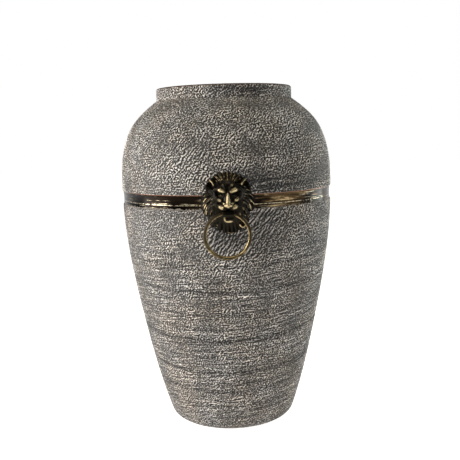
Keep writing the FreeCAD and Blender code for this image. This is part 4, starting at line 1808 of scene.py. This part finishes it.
    def metal(self, name: str, finish: MetalFinish) -> Material:
        """Paints a rubbed metal.

        Args:
            name: the material's name.
            finish: its colours.

        Returns:
            The material.
        """
        material, nodes, shader = start_material(name)
        rubbed = nodes.add("Group", {
            "Wear And Sheen": nodes.attribute("wear_and_sheen"), "Black": finish.black, "Bright": finish.bright,
            "Black Roughness": finish.black_roughness, "Bright Roughness": finish.bright_roughness,
        }, node_tree=self.rubbed).outputs
        nodes.fill(shader, {
            "Base Color": rubbed["Color"], "Roughness": rubbed["Roughness"],
            "Metallic": finish.metallic, "Normal": nodes.bump(rubbed["Height"], *finish.bump),
        })
        return material

    def plain(self, name: str, finish: PlainFinish) -> Material:
        """Paints a finish of one colour with a fine grain.

        Args:
            name: the material's name.
            finish: its colour.

        Returns:
            The material.
        """
        material, nodes, shader = start_material(name)
        grain = nodes.noise(finish.grain_waves)
        dark, light = (
            tuple(min(part * (1.0 + change), 1.0) for part in finish.colour)
            for change in (-finish.unevenness, finish.unevenness))
        nodes.fill(shader, {
            "Base Color": nodes.mix(grain, dark, light), "Roughness": finish.roughness,
            "Metallic": finish.metallic, "Normal": nodes.bump(grain, *finish.bump),
        })
        return material


@dataclass(frozen=True)
class SoftLight:
    """One rectangular light: where it stands, its size and power, in metres and watts."""

    name: str
    place: Triple
    size: Pair
    power: float
    colour: Triple = (1.0, 1.0, 1.0)
    target: Triple = (0.0, 0.0, 0.21)

    def build(self) -> None:
        """Adds the light, turned to its target."""
        data = bpy.data.lights.new(self.name, "AREA")
        data.shape = "RECTANGLE"
        data.size, data.size_y = self.size
        data.energy = self.power
        data.color = self.colour
        lamp = new_object(self.name, data)
        lamp.location = self.place
        aim = Vector(self.target) - Vector(self.place)
        lamp.rotation_euler = aim.to_track_quat("-Z", "Y").to_euler()


@dataclass(frozen=True)
class Studio:
    """Floor, backdrop, lights and camera, in metres."""

    lights: tuple[SoftLight, ...] = (
        SoftLight("key", (-1.38, -0.22, 0.38), (0.85, 1.3), 22.0, (0.985, 0.985, 0.985)),
        SoftLight("right_edge", (1.15, 0.45, 0.5), (0.6, 1.3), 6.6, (0.885, 0.985, 1.0)),
        SoftLight("fill_left", (-0.85, -1.35, 0.85), (0.4, 1.0), 5.6),
        SoftLight("fill_right", (1.15, -1.05, 0.8), (0.3, 1.0), 1.1, (0.92, 0.98, 1.0)),
        SoftLight("top", (0.0, -0.2, 1.5), (0.8, 0.8), 4.1, (1.0, 0.95, 0.80)),
    )
    soft_grey: Triple = (0.213, 0.2185, 0.223)
    seen_grey: tuple[tuple[str, float], ...] = (("Is Glossy Ray", 0.13), ("Is Camera Ray", 1.0))
    floor_reach: float = 6.0
    floor_grey: float = 0.9
    floor_glow: Pair = (0.50, 0.95)
    camera_place: Triple = (-0.0076, -0.8508, 0.3475)
    camera_turns: tuple[tuple[float, str], ...] = ((-0.7, "Z"), (82.03, "X"), (-1.672, "Z"))
    sensor_width: float = 36.0
    lens: float = 54.75
    clip: Pair = (0.05, 50.0)

    def build(self) -> None:
        """Builds the studio."""
        for light in self.lights:
            light.build()
        self.world()
        self.floor()
        self.camera()
        bpy.context.scene.view_settings.view_transform = "Standard"

    def world(self) -> None:
        """Paints the world white to the camera, soft grey to matt surfaces and darker in reflections."""
        world = bpy.data.worlds.new("studio")
        world.use_nodes = True
        world.node_tree.nodes.clear()
        nodes = Nodes(world.node_tree)
        path = nodes.add("LightPath").outputs
        light = nodes.add("Background", {"Color": self.soft_grey}).outputs[0]
        for ray, grey in self.seen_grey:
            other = nodes.add("Background", {"Color": (grey, grey, grey)}).outputs[0]
            light = nodes.add("MixShader", {0: path[ray], 1: light, 2: other}).outputs[0]
        nodes.add("OutputWorld", {"Surface": light})
        bpy.context.scene.world = world

    def floor(self) -> None:
        """Lays a plain pale floor, which glows nearly white to the camera and half as much to the rest."""
        mesh = bpy.data.meshes.new("floor")
        reach = self.floor_reach
        mesh.from_pydata(
            [(-reach, -reach, 0.0), (reach, -reach, 0.0), (reach, reach, 0.0), (-reach, reach, 0.0)],
            [], [(0, 1, 2, 3)])
        material, nodes, shader = start_material("pale_floor")
        seen = nodes.add("LightPath").outputs["Is Camera Ray"]
        nodes.fill(shader, {
            "Base Color": (self.floor_grey,) * 3, "Roughness": 0.9, "Emission Strength": 1.0,
            "Emission Color": nodes.mix(seen, (self.floor_glow[0],) * 3, (self.floor_glow[1],) * 3),
        })
        mesh.materials.append(material)
        new_object("floor", mesh)

    def camera(self) -> None:
        """Sets the camera as the photo's outline gives it."""
        data = bpy.data.cameras.new("camera")
        data.sensor_width = self.sensor_width
        data.lens = self.lens
        data.clip_start, data.clip_end = self.clip
        camera = new_object("camera", data)
        place = Matrix.Translation(self.camera_place)
        for degrees, axis in self.camera_turns:
            place = place @ Matrix.Rotation(math.radians(degrees), 4, axis)
        camera.matrix_world = place
        bpy.context.scene.camera = camera


class UrnVase:
    """The whole vase, dressed piece by piece."""

    def __init__(self) -> None:
        """Prepares the outline, the coat's texture and the finishes."""
        self.outline = Outline()
        self.texture = CoatTexture()
        self.painter = Painter()

    def coat_rings(self) -> list[CoatRing]:
        """Shares the coat out into rings, four below the band and two above it.

        Returns:
            The rings' plans.
        """
        band = BandSize()
        low, high = (float(self.outline.length_at(level)) for level in (band.low, band.high))
        cuts = np.linspace(0.0, low, 5)
        upper = np.linspace(high, self.outline.full_length, 3)
        lower_drop = ((0.45, 0.30), (0.9, 0.75), (band.lower_slope, band.depth + 0.12), (1.5, 1.5))
        upper_drop = ((0.5, 1.5), (0.42, 0.5), (0.3, 0.12))
        return [
            CoatRing("coat_foot", cuts[0], cuts[1], 86),
            CoatRing("coat_lower", cuts[1], cuts[2], 86),
            CoatRing("coat_middle", cuts[2], cuts[3], 86),
            CoatRing("coat_ring_height", cuts[3], cuts[4], 82, end_drop=lower_drop),
            CoatRing("coat_upper", upper[0] + 0.5, upper[1], 83, start_drop=upper_drop),
            CoatRing("coat_shoulder", upper[1], upper[2], 86),
        ]

    def dress_body(self) -> None:
        """Builds the coat, band, collar, inside, foot and felt."""
        paint = self.painter
        inside = paint.plain("inside_glaze", PlainFinish((0.030, 0.022, 0.018), 0.30))
        clay = paint.plain("bare_clay", PlainFinish((0.42, 0.33, 0.25), 0.85, unevenness=0.2))
        coat = Coat(self.outline, self.texture, paint.coat("coat", CoatFinish()))
        pieces = [coat.ring(plan) for plan in self.coat_rings()]
        pieces.append(Band(self.outline, BandSize(), paint.band(GlazeFinish())).build())
        rim_coat = paint.coat("collar_coat", CoatFinish(), with_rim=True)
        collar = Collar(self.outline, self.texture, rim_coat, inside, clay)
        pieces += [collar.collar(), collar.inside_shell(), collar.foot()]
        for piece in pieces:
            hand_over(piece, "vase_body", "vase", "vase_coat")
        felt = FeltSize().build(paint.plain("felt", PlainFinish((0.05, 0.045, 0.04), 0.95, unevenness=0.4)))
        hand_over(felt, "felt_pads", "vase", "felt")

    def dress_handles(self) -> None:
        """Builds the masks, rings and fixings on both sides."""
        paint = self.painter
        mask_metal = paint.metal("mask_metal", MetalFinish())
        ring_metal = paint.metal("ring_metal", MetalFinish(
            black=(0.045, 0.034, 0.018), bright=(0.50, 0.365, 0.165),
            black_roughness=0.28, bright_roughness=0.20))
        fixings = Fixings(
            paint.plain("plated_steel", PlainFinish((0.62, 0.61, 0.58), 0.30, 1.0, 0.05)),
            paint.plain("sealing_rubber", PlainFinish((0.03, 0.03, 0.03), 0.7)),
            paint.plain("bedding_rubber", PlainFinish((0.045, 0.04, 0.035), 0.8)),
        )
        ring = RingSize()
        lion = LionMask(self.outline, LionSize(), ring, mask_metal)
        for side in Side:
            lion.build(side)
            ring.build(side, ring_metal)
            fixings.stud(side)
            fixings.dress(side)

    def build(self) -> None:
        """Dresses every piece."""
        self.dress_body()
        self.dress_handles()


def main() -> None:
    """Builds the vase and the studio."""
    logging.basicConfig(level=logging.INFO)
    UrnVase().build()
    Studio().build()


if __name__ == "__main__":
    main()
